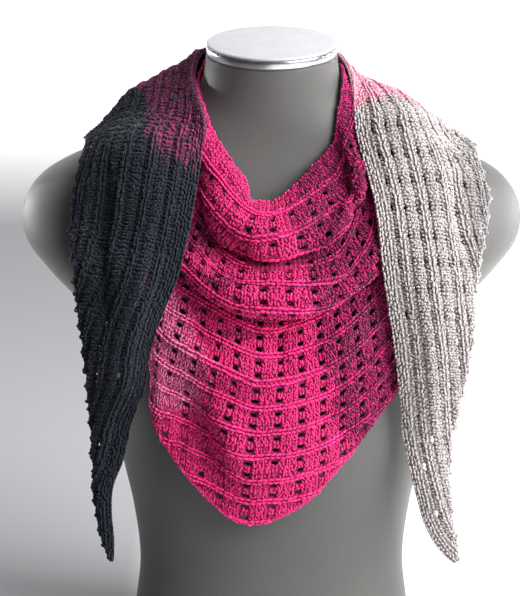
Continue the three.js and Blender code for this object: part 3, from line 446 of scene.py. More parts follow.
class Knit:
    """Lays the ground web and the stitches of one stretch."""

    def __init__(self, cloth, name, tone, repeat_s=REPEAT_S, repeat_w=REPEAT_W, first_rib=FIRST_RIB, band=0.0,
                 phase=0.0, picot=(), edge_top=(), seed=1, hole_w=HOLE_W, ridge=(0.9, 0.35, -0.5), opened=None, slack=False, edge_shape=()):
        self.c, self.name, self.tone = cloth, name, tone
        self.rs, self.rw, self.rib, self.band, self.phase = repeat_s, repeat_w, first_rib, band, phase
        self.picot, self.edge_top, self.seed = picot, edge_top, seed
        self.hole_w, self.ridge, self.opened, self.slack = hole_w, ridge, opened, slack
        self.edge_shape = edge_shape  # (at, width, out) where the top edge swells or dips
        self.rng = np.random.default_rng(seed)

    def relief(self, s, w):
        """How far the knit stands out of the cloth's middle surface: ribs and blocks up, hole lines down."""
        b = np.mod(w - self.rib, self.rw) * 25.2 / self.rw
        rib, block, line = self.ridge
        a = 2 * math.pi * (s - self.phase - 11.8 * self.rs / 23.6) / self.rs
        sway = 0.5 * np.cos(a)  # the hole lines open at the holes and close between them
        bump = lambda at, size: np.exp(-(((b - at + 12.6) % 25.2 - 12.6) / size) ** 2)
        out = (rib * bump(0, 3.4) + block * bump(12.9, 4.6)
               + line * (0.75 + 0.4 * np.cos(a)) * (bump(6.9 - sway * 0.8, 1.5 + 0.5 * np.cos(a)) + bump(18.9 + sway * 0.8, 1.5 + 0.5 * np.cos(a))))
        if self.band:
            k = np.clip((w - self.c.w0.min() - self.band) / 3, 0, 1)
            cords = 0.5 + 0.5 * np.cos(2 * math.pi * (w - self.c.w0.min() - 1.5) / 2.95)
            out = out * k + (1 - k) * 0.9 * cords
        return out

    def cavity(self, s, w):
        """Painted shade: 1 on the ridges of the knit, less down in its grooves, where the yarn and web are darkened."""
        low, high = min(self.ridge[2], -0.4), max(self.ridge[:2])
        floor = 0.62 if self.slack else 0.50
        return floor + (1 - floor) * np.clip((self.relief(s, w) - low) / (0.75 * (high - low)), 0, 1)

    def low(self, s):
        lo = self.c.span(s)[0]
        if self.edge_top:
            lo = lo - bump_edge(s, *self.edge_top, self.seed + 7)[0]
        for at, width, out in self.edge_shape:
            lo = lo - out * np.exp(-(((s - at) / width) ** 2))
        return lo

    def high(self, s):
        hi = self.c.span(s)[1]
        if self.picot:
            hi = hi + bump_edge(s, *self.picot, self.seed + 3)[0] - 0.6
        return hi

    def lattice(self):
        c, ks, kw = self.c, self.rs / 23.6, self.rw / 25.2
        s_off = np.array([0, 2.36, 4.72, HOLE_S[0], 11.8, HOLE_S[1], 18.88, 21.24]) * ks
        n0, n1 = math.floor((c.s_low - self.phase) / self.rs) - 1, math.ceil((c.s_high - self.phase) / self.rs) + 1
        s = (self.phase + np.arange(n0, n1)[:, None] * self.rs + s_off[None]).ravel()
        s_hole = np.tile(np.array([0, 0, 0, 1, 1, 0, 0, 0]), n1 - n0)
        keep = (s > c.s_low + 0.8) & (s < c.s_high - 0.8)
        s_kind = s_hole[keep]
        s = s[keep]
        s = np.concatenate([[c.s_low], s, [c.s_high]])
        s_kind = np.concatenate([[0], s_kind, [0]])
        top = float((c.w0 + c.length).max()) + 8
        h = self.hole_w
        w_off = np.array([0, h[0][0], (h[0][0] + h[0][1]) / 2, h[0][1], 12.8, h[1][0], (h[1][0] + h[1][1]) / 2, h[1][1]]) * kw
        m0 = math.floor((float(c.w0.min()) - self.rib) / self.rw) - 1
        m1 = math.ceil((top - self.rib) / self.rw) + 1
        w = (self.rib + np.arange(m0, m1)[:, None] * self.rw + w_off[None]).ravel()
        w_kind = np.tile(np.array([0, 1, 1, 0, 0, 1, 1, 0]), m1 - m0)
        keep = w > float(c.w0.min()) + self.band + 0.3
        w, w_kind = w[keep], w_kind[keep]
        start = float(c.w0.min()) - 6
        extra = np.linspace(0, self.band, 5) if self.band else np.array([start, float(c.w0.min())])
        w = np.concatenate([extra, w])
        w_kind = np.concatenate([np.zeros(len(extra), int), w_kind])
        return s, s_kind, w, w_kind

    def web(self):
        s, s_kind, w, w_kind = self.lattice()
        self.open_holes = set()
        lo, hi = self.low(s), self.high(s)
        ns, nw = len(s), len(w)
        W = np.broadcast_to(w, (ns, nw)).copy()
        j_lo = np.array([max(int(np.searchsorted(w, l, side="right")) - 1, 0) for l in lo])
        j_hi = np.array([min(int(np.searchsorted(w, h)), nw - 1) for h in hi])
        # a lattice line just inside the edge gives way to it
        for i in range(ns):
            if j_lo[i] + 1 < j_hi[i] and w[j_lo[i] + 1] - lo[i] < 0.8:
                j_lo[i] += 1
            if j_hi[i] - 1 > j_lo[i] and hi[i] - w[j_hi[i] - 1] < 0.8:
                j_hi[i] -= 1
            W[i, : j_lo[i] + 1] = lo[i]
            W[i, j_hi[i]:] = hi[i]
        S = np.broadcast_to(s[:, None], (ns, nw)).copy()
        # holes: both neighbouring lines are hole lines, clear of the edges
        cell_hole = (s_kind[:-1, None] == 1) & (w_kind[None, :-1] == 1)
        i_idx = np.arange(ns - 1)
        inside = (w[None, :-1] > np.maximum(lo[:-1], lo[1:])[:, None] + 2.2) & (w[None, 1:] < np.minimum(hi[:-1], hi[1:])[:, None] - 2.6)
        cell_hole &= inside
        # keep only whole holes (2 by 2 cells)
        whole = np.zeros_like(cell_hole)
        for i in range(ns - 2):
            if s_kind[i] and s_kind[i + 1] and not (i > 0 and s_kind[i - 1]):
                for j in range(nw - 2):
                    if w_kind[j] and w_kind[j + 1] and not (j > 0 and w_kind[j - 1]) and cell_hole[i:i + 2, j:j + 2].all():
                        if self.opened is not None and self.rng.uniform() > self.opened(s[i + 1], w[j + 1], self.c.at(s[i + 1], w[j + 1])[0]):
                            continue
                        whole[i:i + 2, j:j + 2] = True
                        b = (w[j + 1] - self.rib) / self.rw
                        self.open_holes.add((int(round((s[i + 1] - self.phase) / self.rs - 0.5)), int(math.floor(b)), int(b % 1 > 0.5)))
                        # rounded corners, each hole a little different
                        r = self.rng.uniform(0.65, 1.2, 4)
                        for (a, b), q in zip(((0, 0), (0, 2), (2, 0), (2, 2)), r):
                            S[i + a, j + b] += (1 if a == 0 else -1) * q * (0.9 if self.slack else 1.7)
                            W[i + a, j + b] += (1 if b == 0 else -1) * q * 0.9
        self.holes = whole
        ids = np.arange(ns * nw).reshape(ns, nw)
        for i in range(ns):
            ids[i, : j_lo[i]] = ids[i, j_lo[i]]
            ids[i, j_hi[i] + 1:] = ids[i, j_hi[i]]
        p, n = self.c.at(S, W)
        p = p + n * self.relief(S, W)[..., None]
        up, down = p + n * SKIN_UP, p - n * SKIN_DOWN
        quad = np.stack([ids[:-1, :-1], ids[1:, :-1], ids[1:, 1:], ids[:-1, 1:]], -1)[~whole]
        polys = []
        for q in quad:
            u = list(dict.fromkeys(q.tolist()))
            if len(u) == 4:
                polys.append(u)
            elif len(u) == 3:
                polys.append(u + [-1])
        polys = np.array(polys)
        # the outward side of the quads as laid: along s, then along w
        e = (p[1:, :-1] - p[:-1, :-1])
        f = (p[:-1, 1:] - p[:-1, :-1])
        flip = (np.cross(e, f) * n[:-1, :-1]).sum() < 0
        def reverse(q):
            r = q.copy()
            tri = q[:, 3] < 0
            r[~tri] = q[~tri][:, ::-1]
            r[tri, :3] = q[tri][:, 2::-1]
            return r
        out = reverse(polys) if flip else polys
        back = reverse(out)
        back = np.where(back >= 0, back + ns * nw, -1)
        # rim: edges used once
        edges = {}
        for q in out:
            u = q[q >= 0].tolist()
            for a, b in zip(u, u[1:] + u[:1]):
                edges[(a, b)] = True
        rim = [(a, b) for (a, b) in edges if (b, a) not in edges]
        rim = np.array([(b, a, a + ns * nw, b + ns * nw) for a, b in rim])
        polys = np.concatenate([out, back, rim])
        verts = np.concatenate([up.reshape(-1, 3), down.reshape(-1, 3)])
        uvxy = np.stack([(S - s.min()) / (s.max() - s.min()), (W - W.min()) / (W.max() - W.min())], -1).reshape(-1, 2)
        used = np.unique(polys[polys >= 0])
        remap = np.full(len(verts), -1)
        remap[used] = np.arange(len(used))
        flat = [q[q >= 0] for q in polys]
        side = np.concatenate([np.zeros(len(out)), np.ones(len(back)), np.full(len(rim), 2)])
        loop_v = np.concatenate(flat)
        loop_side = np.repeat(side, [len(q) for q in flat])
        base = uvxy[loop_v % (ns * nw)]
        bake = np.stack([(base[:, 0] + np.minimum(loop_side, 1)) * 0.5, base[:, 1]], -1)
        bake = 0.004 + 0.992 * bake
        mm = np.stack([(S - s.min()), W], -1).reshape(-1, 2)[loop_v % (ns * nw)]
        polys = np.where(polys >= 0, remap[np.maximum(polys, 0)], -1)
        tone = self.tone(S, W, p).reshape(-1)
        tone = np.concatenate([tone, tone])[used]
        cavity = self.cavity(S, W).reshape(-1)
        cavity = np.concatenate([cavity, cavity])[used]
        ob = new_mesh(self.name, verts[used], polys, {"tone": tone, "cavity": cavity}, {"OFBake": bake, "knit": mm})
        return ob

    def hole_near(self, s, w, grow=0.0):
        """True where a hole of the pattern lies."""
        ks, kw = self.rs / 23.6, self.rw / 25.2
        a = np.mod(s - self.phase, self.rs) / ks
        b = np.mod(w - self.rib, self.rw) / kw
        in_s = (a > HOLE_S[0] - grow) & (a < HOLE_S[1] + grow)
        in_w = ((b > HOLE_W[0][0] - grow) & (b < HOLE_W[0][1] + grow)) | ((b > HOLE_W[1][0] - grow) & (b < HOLE_W[1][1] + grow))
        return in_s & in_w & (w > self.c.w0.min() + self.band)

    def stitches(self):
        """Every leg as a row: s, w, turn (degrees from the s direction), half length, half width, half height, lift,
        dip, lit (the amount of painted highlight, which also steadies the leg).
        """
        c, rng = self.c, self.rng
        ks, kw = self.rs / 23.6, self.rw / 25.2
        top = float((c.w0 + c.length).max()) + 6
        k = np.arange(math.floor((c.s_low - self.phase) / self.rs) - 1, math.ceil((c.s_high - self.phase) / self.rs) + 1)
        m = np.arange(math.floor((c.w0.min() - self.rib) / self.rw) - 1, math.ceil((top - self.rib) / self.rw) + 1)
        s0 = (self.phase + k * self.rs)[:, None]
        rows = []

        def put(s, w, turn, length, width, height, lift, dip=0.0, lit=0.0):
            s, w = np.broadcast_arrays(s, w)
            s, w = s.ravel(), w.ravel()
            one = np.ones(len(s))
            rows.append(np.stack([s, w, turn * one, length * one, width * one, height * one, lift * one, dip * one, lit * one], -1))

        def chain_s(w, off, length, width, height, lift, start=0.0, lit=1.0, turn=9):
            """A chain of legs in pairs, running along s."""
            step = self.rs / 5
            s = np.arange(c.s_low - step, c.s_high + step, step) + start
            put(s, w + off, turn, length, width, height, lift, 0.10, lit)
            put(s + 0.5, w - off, -turn, length, width, height, lift, 0.10, lit)

        # ribs: a raised double cord between the hole rows
        for r in self.rib + m * self.rw:
            if r > c.w0.min() + self.band - 1:
                chain_s(r, 1.8, 3.15, 1.2, 1.3, 0.95, self.rng.uniform(0, 1), 0.15 if self.slack else 1.0)
        if self.slack:  # beside each rib the slack knit bunches into a band as wide as the blocks
            for r in self.rib + m * self.rw:
                for side in (-1, 1):
                    s = np.arange(c.s_low, c.s_high, self.rs / 7) + self.rng.uniform(0, 2)
                    put(s, r + side * 4.35 * kw, 90 - 28 * side, 2.0, 1.1, 1.1, 0.45, 0.12)
        # corded band on the long edge
        if self.band:
            for at, start in zip(CORDS, (0.0, 1.5, 0.6, 2.2)):
                step = self.rs / 5.5
                put(np.arange(c.s_low, c.s_high, step) + start, at, 7, 2.75, 1.12, 1.2, 0.3, 0.08, 0.2)
        # stitch columns between the ribs
        courses = (8.9, 11.55, 14.2, 16.85) if self.slack else [3.2 + 18.8 / 5 * (i + 0.5) for i in range(5)]
        span = 2.1 if self.slack else 2.7
        holes = [(a + b) / 2 for a, b in self.hole_w]
        for number, r in zip(m, self.rib + m * self.rw):
            for b in courses:
                w = r + b * kw
                for col in (-1, 0, 1):
                    s = s0 + col * WALE * ks
                    put(s - 1.26 * ks, w, 90 - 24, span * kw, YARN, 1.2, 0.4, 0.16)
                    put(s + 1.26 * ks, w, 90 + 24, span * kw, YARN, 1.2, 0.4, 0.16)
            # one column of stitches between each pair of holes
            for b in (9.6, 12.8, 16.0) if self.slack else (11.6, 15.1):
                w = r + b * kw
                put(s0 + (11.9 - 1.4) * ks, w, 90 - 20, 2.3 * kw, YARN, 1.1, 0.35, 0.16)
                put(s0 + (11.9 + 1.4) * ks, w, 90 + 20, 2.3 * kw, YARN, 1.1, 0.35, 0.16)
            # where a hole has drawn shut, its column runs on
            for which, b in enumerate(holes):
                shut = np.array([(int(a), int(number), which) not in self.open_holes for a in k])
                if not shut.any():
                    continue
                at = s0[shut] + 11.9 * ks
                size = 1.5 if self.slack else 2.3
                put(at - 1.5 * ks, r + b * kw, 90 - 20, size, 1.05, 1.0, 0.15, 0.12)
                put(at + 1.5 * ks, r + b * kw, 90 + 20, size, 1.05, 1.0, 0.15, 0.12)
        q = np.concatenate(rows)
        # the first chain on a scalloped top edge
        lo, hi = self.low(q[:, 0]), self.high(q[:, 0])
        in_s = (q[:, 0] > c.s_low + 0.5) & (q[:, 0] < c.s_high - 0.5)
        banded = q[:, 1] < c.w0.min() + self.band
        is_band = np.zeros(len(q), bool)
        if self.band:
            is_band = np.isin(q[:, 1], CORDS)
        keep = in_s & (q[:, 1] > lo + 0.4) & (q[:, 1] < hi - 1.4) & (~banded | is_band)
        q = q[keep]
        # every edge is bound off with a chain that follows it
        extra = []
        for which in (["high"] if self.picot else []) + (["low"] if self.edge_top else []):
            s = np.linspace(c.s_low, c.s_high, 2400)
            w = self.high(s) - 1.0 if which == "high" else self.low(s) + 1.0
            p, _ = c.at(s, w)
            run = np.concatenate([[0], np.cumsum(np.linalg.norm(p[1:] - p[:-1], axis=-1))])
            at = np.arange(0, run[-1], 4.1)
            ss, ww = np.interp(at, run, s), np.interp(at, run, w)
            ds, dw = np.interp(at + 1.5, run, s) - np.interp(at - 1.5, run, s), np.interp(at + 1.5, run, w) - np.interp(at - 1.5, run, w)
            turn = np.degrees(np.arctan2(dw, ds))
            one = np.ones(len(at))
            extra.append(np.stack([ss, ww, turn + 10 * np.sign(np.sin(at)), 2.7 * one, 1.2 * one, 1.25 * one, 0.35 * one, 0.05 * one, 0.6 * one], -1))
            inward = -2.2 if which == "high" else 2.2
            extra.append(np.stack([ss, ww + inward, turn - 12, 2.5 * one, 1.05 * one, 1.1 * one, 0.3 * one, 0.1 * one, 0.3 * one], -1))
            spec = self.picot if which == "high" else self.edge_top
            _, at_s = bump_edge(s, *spec, self.seed + (3 if which == "high" else 7))
            at_s = at_s[(at_s > c.s_low + 2) & (at_s < c.s_high - 2)]
            w_tip = self.high(at_s) + 0.3 if which == "high" else self.low(at_s) - 0.3
            for turn, dx in ((58, -1.0), (122, 1.0)) if which == "high" and spec[1] > 1.2 else ():
                o = np.ones(len(at_s))
                extra.append(np.stack([at_s + dx, w_tip, turn * o, 2.2 * o, 1.15 * o, 1.15 * o, 0.3 * o, 0.0 * o, 0.5 * o], -1))
        if extra:
            q = np.concatenate([q] + extra)
        return q

    def legs(self, q, hidden=None):
        c, rng = self.c, self.rng
        n = len(q)
        loose = 0.40 if self.slack else 0.46
        s = q[:, 0] + rng.normal(0, loose + 0.06, n) * (1 - 0.4 * q[:, 8])
        w = q[:, 1] + rng.normal(0, loose, n) * (1 - 0.5 * q[:, 8])
        p, ds, dw, nrm = c.frame_at(s, w)
        e = 3.0
        fs = np.linalg.norm(c.at(np.clip(s + e, c.s_low, c.s_high), w)[0] - c.at(np.clip(s - e, c.s_low, c.s_high), w)[0], axis=-1)
        fs = np.clip(fs / (np.clip(s + e, c.s_low, c.s_high) - np.clip(s - e, c.s_low, c.s_high)), 0.55, 1.6)
        turn = np.radians(q[:, 2] + rng.normal(0, 12.0 if self.slack else 10.0, n) * (1 - 0.6 * q[:, 8]))
        axis = unit(ds * np.cos(turn)[:, None] * fs[:, None] + dw * np.sin(turn)[:, None])
        along = np.sqrt((np.cos(turn) * fs) ** 2 + np.sin(turn) ** 2)
        across = np.sqrt((np.sin(turn) * fs) ** 2 + np.cos(turn) ** 2)
        axis = unit(axis + nrm * (q[:, 7] + rng.normal(0, 0.04, n))[:, None])
        size = np.clip(rng.normal(1.0, 0.10, n), 0.75, 1.3)
        centre = p + nrm * (q[:, 6] + self.relief(s, w) + rng.normal(0, 0.14, n))[:, None]
        data = {"c": centre, "axis": axis, "n": nrm, "l": q[:, 3] * along * size, "b": q[:, 4] * np.clip(across, 0.8, 1.25) * size,
                "h": q[:, 5] * size, "tone": self.tone(s, w, p), "shade": rng.uniform(0, 1, n), "s": s, "w": w, "lit": q[:, 8],
                "cavity": self.cavity(s, w)}
        if hidden is not None:
            keep = ~hidden(centre, nrm)
            data = {k: v[keep] for k, v in data.items()}
        return data


def covered_by(others):
    """A test for points that lie well under another stretch of cloth."""
    pts, nor = [], []
    for o in others:
        g = o.grid[6:-6:3, :: max(1, o.nv // 24)]
        arc = np.minimum(np.arange(o.nv), np.arange(o.nv)[::-1])[:: max(1, o.nv // 24)][None] * (o.length[6:-6:3] / (o.nv - 1))[:, None]
        inner = arc > 16
        pts.append(g[inner])
    pts = np.concatenate(pts)

    def test(p, n):
        out = np.zeros(len(p), bool)
        for a in range(0, len(p), 600):
            d = pts[None] - p[a:a + 600, None]
            up = (d * n[a:a + 600, None]).sum(-1)
            flat = (d**2).sum(-1) - up**2
            out[a:a + 600] = ((up > 2.0) & (up < 15) & (flat < 36)).any(1)
        return out
    return test


# ------------------------------------------------------------------ materials
def srgb(r, g, b):
    f = lambda c: c / 12.92 if c <= 0.04045 else ((c + 0.055) / 1.055) ** 2.4
    return (f(r / 255), f(g / 255), f(b / 255), 1.0)


class Nodes:
    def __init__(self, name):
        self.m = bpy.data.materials.new(name)
        self.m.use_nodes = True
        self.t = self.m.node_tree
        self.t.nodes.clear()
        self.out = self.t.nodes.new("ShaderNodeOutputMaterial")
        self.bsdf = self.t.nodes.new("ShaderNodeBsdfPrincipled")
        self.link(self.bsdf.outputs["BSDF"], self.out.inputs["Surface"])

    def link(self, a, b):
        self.t.links.new(a, b)

    def node(self, kind, **props):
        n = self.t.nodes.new(kind)
        for k, v in props.items():
            setattr(n, k, v)
        return n

    def math(self, op, a, b=None, c=None, clamp=False):
        n = self.node("ShaderNodeMath", operation=op, use_clamp=clamp)
        for i, v in enumerate((a, b, c)):
            if v is None:
                continue
            if isinstance(v, (int, float)):
                n.inputs[i].default_value = v
            else:
                self.link(v, n.inputs[i])
        return n.outputs[0]

    def mix(self, factor, a, b, blend="MIX"):
        n = self.node("ShaderNodeMix", data_type="RGBA", blend_type=blend)
        for i, v in ((0, factor), (6, a), (7, b)):
            if isinstance(v, (int, float, tuple)):
                n.inputs[i].default_value = v
            else:
                self.link(v, n.inputs[i])
        return n.outputs[2]

    def ramp(self, factor, stops, interpolation="LINEAR"):
        n = self.node("ShaderNodeValToRGB")
        n.color_ramp.interpolation = interpolation
        el = n.color_ramp.elements
        while len(el) < len(stops):
            el.new(0.5)
        for e, (pos, colour) in zip(el, stops):
            e.position = pos
            e.color = colour
        self.link(factor, n.inputs[0])
        return n.outputs[0]

    def noise(self, vector, scale, detail=2.0, rough=0.5):
        n = self.node("ShaderNodeTexNoise")
        n.inputs["Scale"].default_value = scale
        n.inputs["Detail"].default_value = detail
        n.inputs["Roughness"].default_value = rough
        if vector is not None:
            self.link(vector, n.inputs["Vector"])
        return n.outputs["Fac"]

    def attribute(self, name):
        return self.node("ShaderNodeAttribute", attribute_name=name).outputs["Fac"]

    def bump(self, height, distance, strength=1.0, after=None):
        n = self.node("ShaderNodeBump")
        n.inputs["Distance"].default_value = distance
        n.inputs["Strength"].default_value = strength
        self.link(height, n.inputs["Height"])
        if after is not None:
            self.link(after, n.inputs["Normal"])
        return n.outputs["Normal"]

    def set(self, **values):
        for k, v in values.items():
            self.bsdf.inputs[k.replace("_", " ")].default_value = v


BLACK_A, BLACK_B = srgb(31, 36, 48), srgb(22, 26, 36)
PINK_A, PINK_B = srgb(248, 70, 152), srgb(226, 10, 104)
LIGHT_PINK = srgb(250, 92, 164)
WINE = srgb(150, 46, 100)
PLUM, BERRY = srgb(62, 12, 46), srgb(212, 36, 118)
DUSTY = srgb(232, 134, 176)
ROSE, CRIMSON = srgb(222, 178, 190), srgb(202, 104, 138)
GREY_A, GREY_B = srgb(199, 193, 192), srgb(167, 160, 160)
SHADED_GREY_A, SHADED_GREY_B = srgb(162, 157, 158), srgb(112, 107, 108)
# tone along the scarf: black; black with wine; plum with pink; pink; pink with grey; rose with crimson; grey; grey
# darkened as painted shade
PLY_A = [(0.0, BLACK_A), (0.30, BLACK_A), (0.36, PLUM), (0.41, PLUM), (0.46, PINK_B), (0.56, PINK_A), (0.61, LIGHT_PINK), (0.66, LIGHT_PINK), (0.72, ROSE), (0.79, ROSE), (0.85, GREY_A), (0.94, GREY_A), (0.99, SHADED_GREY_A)]
PLY_B = [(0.0, BLACK_B), (0.15, BLACK_B), (0.20, WINE), (0.30, WINE), (0.36, BERRY), (0.41, BERRY), (0.46, PINK_A), (0.56, PINK_B), (0.61, DUSTY), (0.66, DUSTY), (0.74, CRIMSON), (0.79, CRIMSON), (0.84, GREY_B), (0.94, GREY_B), (0.99, SHADED_GREY_B)]


def yarn_tone(k, coords):
    """The tone along the scarf, a little ragged where one shade gives way to the next."""
    ragged = k.math("MULTIPLY", k.math("SUBTRACT", k.noise(coords, 190.0, 2.0), 0.5), 0.09)
    return k.math("ADD", k.attribute("tone"), ragged, clamp=True)


def yarn_material(name, sheen=0.35, floor=0.36, groove_floor=0.55, fuzz=0.5, tint=(1.0, 0.93, 0.95, 1.0)):
    k = Nodes(name)
    coords = k.node("ShaderNodeTexCoord").outputs["Object"]
    ply = k.node("ShaderNodeUVMap", uv_map="ply").outputs["UV"]
    split = k.node("ShaderNodeSeparateXYZ")
    k.link(ply, split.inputs[0])
    tone = yarn_tone(k, coords)
    a, b = k.ramp(tone, PLY_A), k.ramp(tone, PLY_B)
    # two plies wound round each other: stripes that run round the yarn as it goes along
    turn = k.math("ADD", k.math("MULTIPLY", split.outputs["X"], 2.3), k.math("MULTIPLY", split.outputs["Y"], 12.566))
    wave = k.math("SINE", turn)
    shade = k.attribute("shade")
    marl = k.math("ADD", k.math("MULTIPLY", wave, 1.6), k.math("MULTIPLY", k.math("SUBTRACT", shade, 0.5), 2.6))
    marl = k.math("ADD", k.math("MULTIPLY", marl, 0.5), 0.5, clamp=True)
    colour = k.mix(marl, a, b)
    fibre = k.noise(coords, 1500.0, 3.0, 0.65)
    light = k.math("ADD", 0.91 - fuzz / 2, k.math("MULTIPLY", fibre, fuzz))
    light = k.math("ADD", light, k.math("MULTIPLY", shade, 0.16))
    # painted highlight: ribs and edge chains are lightened by their 'lit' amount
    light = k.math("ADD", light, k.math("MULTIPLY", k.attribute("lit"), 0.30))
    # painted shade: yarn is darkened down in the knit, where the stitches shade each other
    deep = k.math("POWER", k.attribute("depth"), 1.3)
    light = k.math("MULTIPLY", light, k.math("ADD", floor, k.math("MULTIPLY", deep, 1.2 - floor)))
    grey = k.node("ShaderNodeCombineColor")
    for i in range(3):
        k.link(light, grey.inputs[i])
    colour = k.mix(1.0, colour, grey.outputs[0], "MULTIPLY")
    # painted shade: the groove between the plies is darkened
    groove = k.math("POWER", k.math("ABSOLUTE", k.math("SINE", k.math("MULTIPLY", turn, 0.5))), 0.6)
    g = k.node("ShaderNodeCombineColor")
    for i in range(3):
        k.link(k.math("ADD", groove_floor, k.math("MULTIPLY", groove, 1 - groove_floor)), g.inputs[i])
    colour = k.mix(1.0, colour, g.outputs[0], "MULTIPLY")
    k.link(colour, k.bsdf.inputs["Base Color"])
    normal = k.bump(groove, 0.0005, 0.8)
    normal = k.bump(fibre, 0.00035, 0.7, normal)
    k.link(normal, k.bsdf.inputs["Normal"])
    k.set(Roughness=0.88, Sheen_Weight=sheen, Sheen_Roughness=0.45, Specular_IOR_Level=0.25)
    k.bsdf.inputs["Sheen Tint"].default_value = tint
    return k.m


def web_material(name, sheen=0.2, floor=0.20):
    """The ground under the stitches and the wrong side of the knit: the same yarn, in purl bumps, darkened as painted
    shade under the stitches and between the bumps.
    """
    k = Nodes(name)
    coords = k.node("ShaderNodeTexCoord").outputs["Object"]
    knit = k.node("ShaderNodeUVMap", uv_map="knit").outputs["UV"]
    split = k.node("ShaderNodeSeparateXYZ")
    k.link(knit, split.inputs[0])
    tone = yarn_tone(k, coords)
    a, b = k.ramp(tone, PLY_A), k.ramp(tone, PLY_B)
    wobble = k.math("MULTIPLY", k.noise(coords, 260.0, 2.0), 2.2)
    x = k.math("ADD", k.math("MULTIPLY", split.outputs["X"], 2 * math.pi / 4.72), wobble)
    y = k.math("ADD", k.math("MULTIPLY", split.outputs["Y"], 2 * math.pi / 3.5), wobble)
    purl = k.math("ADD", k.math("MULTIPLY", k.math("SINE", x), 0.25), k.math("MULTIPLY", k.math("SINE", k.math("ADD", y, k.math("MULTIPLY", k.math("SINE", x), 1.1))), 0.25))
    purl = k.math("ADD", purl, 0.5, clamp=True)
    marl = k.math("MULTIPLY", k.math("ADD", k.noise(coords, 620.0, 2.0), -0.28), 2.0, clamp=True)
    colour = k.mix(marl, a, b)
    # painted shade: the web is darkened between its purl bumps and down in the knit's grooves
    light = k.math("MULTIPLY", k.math("ADD", floor, k.math("MULTIPLY", purl, 0.42)), k.attribute("cavity"))
    grey = k.node("ShaderNodeCombineColor")
    for i in range(3):
        k.link(light, grey.inputs[i])
    colour = k.mix(1.0, colour, grey.outputs[0], "MULTIPLY")
    k.link(colour, k.bsdf.inputs["Base Color"])
    normal = k.bump(purl, 0.0016, 0.9)
    normal = k.bump(k.noise(coords, 1500.0, 3.0), 0.0003, 0.6, normal)
    k.link(normal, k.bsdf.inputs["Normal"])
    k.set(Roughness=0.92, Sheen_Weight=sheen, Sheen_Roughness=0.5, Specular_IOR_Level=0.2)
    return k.m


def form_material():
    """Sprayed matte grey shell, faintly mottled, with a fine orange-peel."""
    k = Nodes("form_matte_grey")
    coords = k.node("ShaderNodeTexCoord").outputs["Object"]
    cloud = k.noise(coords, 9.0, 4.0, 0.55)
    fine = k.noise(coords, 420.0, 3.0, 0.6)
    base = k.ramp(cloud, [(0.25, srgb(84, 84, 83)), (0.8, srgb(92, 92, 90))])
    tint = k.ramp(fine, [(0.3, (0.94, 0.94, 0.94, 1)), (0.75, (1.0, 1.0, 1.0, 1))])
    k.link(k.mix(1.0, base, tint, "MULTIPLY"), k.bsdf.inputs["Base Color"])
    rough = k.math("ADD", 0.5, k.math("MULTIPLY", cloud, 0.16))
    k.link(rough, k.bsdf.inputs["Roughness"])
    k.link(k.bump(fine, 0.0003, 0.25), k.bsdf.inputs["Normal"])
    k.set(Specular_IOR_Level=0.4, Sheen_Weight=0.15, Sheen_Roughness=0.6)
    return k.m


def collar_material():
    k = Nodes("collar_polished_steel")
    coords = k.node("ShaderNodeTexCoord").outputs["Object"]
    stretch = k.node("ShaderNodeMapping")
    stretch.inputs["Scale"].default_value = (14, 14, 900)
    k.link(coords, stretch.inputs["Vector"])
    lines = k.noise(stretch.outputs["Vector"], 3.0, 3.0)
    k.link(k.ramp(lines, [(0.3, srgb(196, 198, 200)), (0.8, srgb(228, 229, 230))]), k.bsdf.inputs["Base Color"])
    k.link(k.math("ADD", 0.16, k.math("MULTIPLY", lines, 0.14)), k.bsdf.inputs["Roughness"])
    k.set(Metallic=1.0)
    return k.m


def cap_material():
    k = Nodes("cap_white_satin")
    coords = k.node("ShaderNodeTexCoord").outputs["Object"]
    n = k.noise(coords, 60.0, 3.0)
    k.link(k.ramp(n, [(0.3, srgb(188, 190, 194)), (0.8, srgb(198, 200, 204))]), k.bsdf.inputs["Base Color"])
    k.link(k.bump(k.noise(coords, 300.0, 2.0), 0.0002, 0.2), k.bsdf.inputs["Normal"])
    k.set(Roughness=0.38, Specular_IOR_Level=0.5)
    return k.m


# ------------------------------------------------------------------ the stretches of cloth
# Creases as (line of x, z; half width; height, below 0 for a trough; side), in mm
BIB_CREASES = (
    ([(-110, 351), (-73, 334), (-52, 314), (-11, 303), (31, 307), (66, 313)], 9, 7.5, "front"),
    ([(-41, 358), (-13, 341), (19, 337), (55, 348)], 9, -4.0, "front"),
    ([(19, 365), (3, 336), (17, 311)], 7, -4.5, "front"),
    ([(-80, 382), (-68, 348), (-55, 318)], 9, -4.0, "front"),
    ([(-80, 288), (-66, 250), (-52, 206)], 12, -9.0, "front"),
    ([(-60, 296), (-42, 262), (-30, 215)], 13, 8.0, "front"),
    ([(-116, 290), (-102, 245), (-72, 196)], 9, 8.0, "front"),
    ([(-30, 205), (-9, 215), (27, 213)], 10, 3.0, "front"),
    ([(28, 292), (60, 262), (84, 240)], 12, -3.0, "front"),
    ([(92, 356), (112, 318), (120, 286)], 9, -3.5, "front"),
    ([(-6, 320), (2, 262), (6, 176)], 58, 3.5, "front"),
)
LOWER_CREASES = (
    ([(40, 384), (62, 398), (80, 418)], 6, -5.0, "front"),
    ([(-70, 424), (-36, 406), (-9, 404)], 7, -5.0, "front"),
    ([(-40, 386), (-8, 378), (24, 378), (48, 390)], 8, 3.5, "front"),
    ([(86, 404), (104, 430)], 7, 4.0, "front"),
    ([(-66, 462), (-54, 440), (-42, 424)], 9, -6.0, "front"),
)
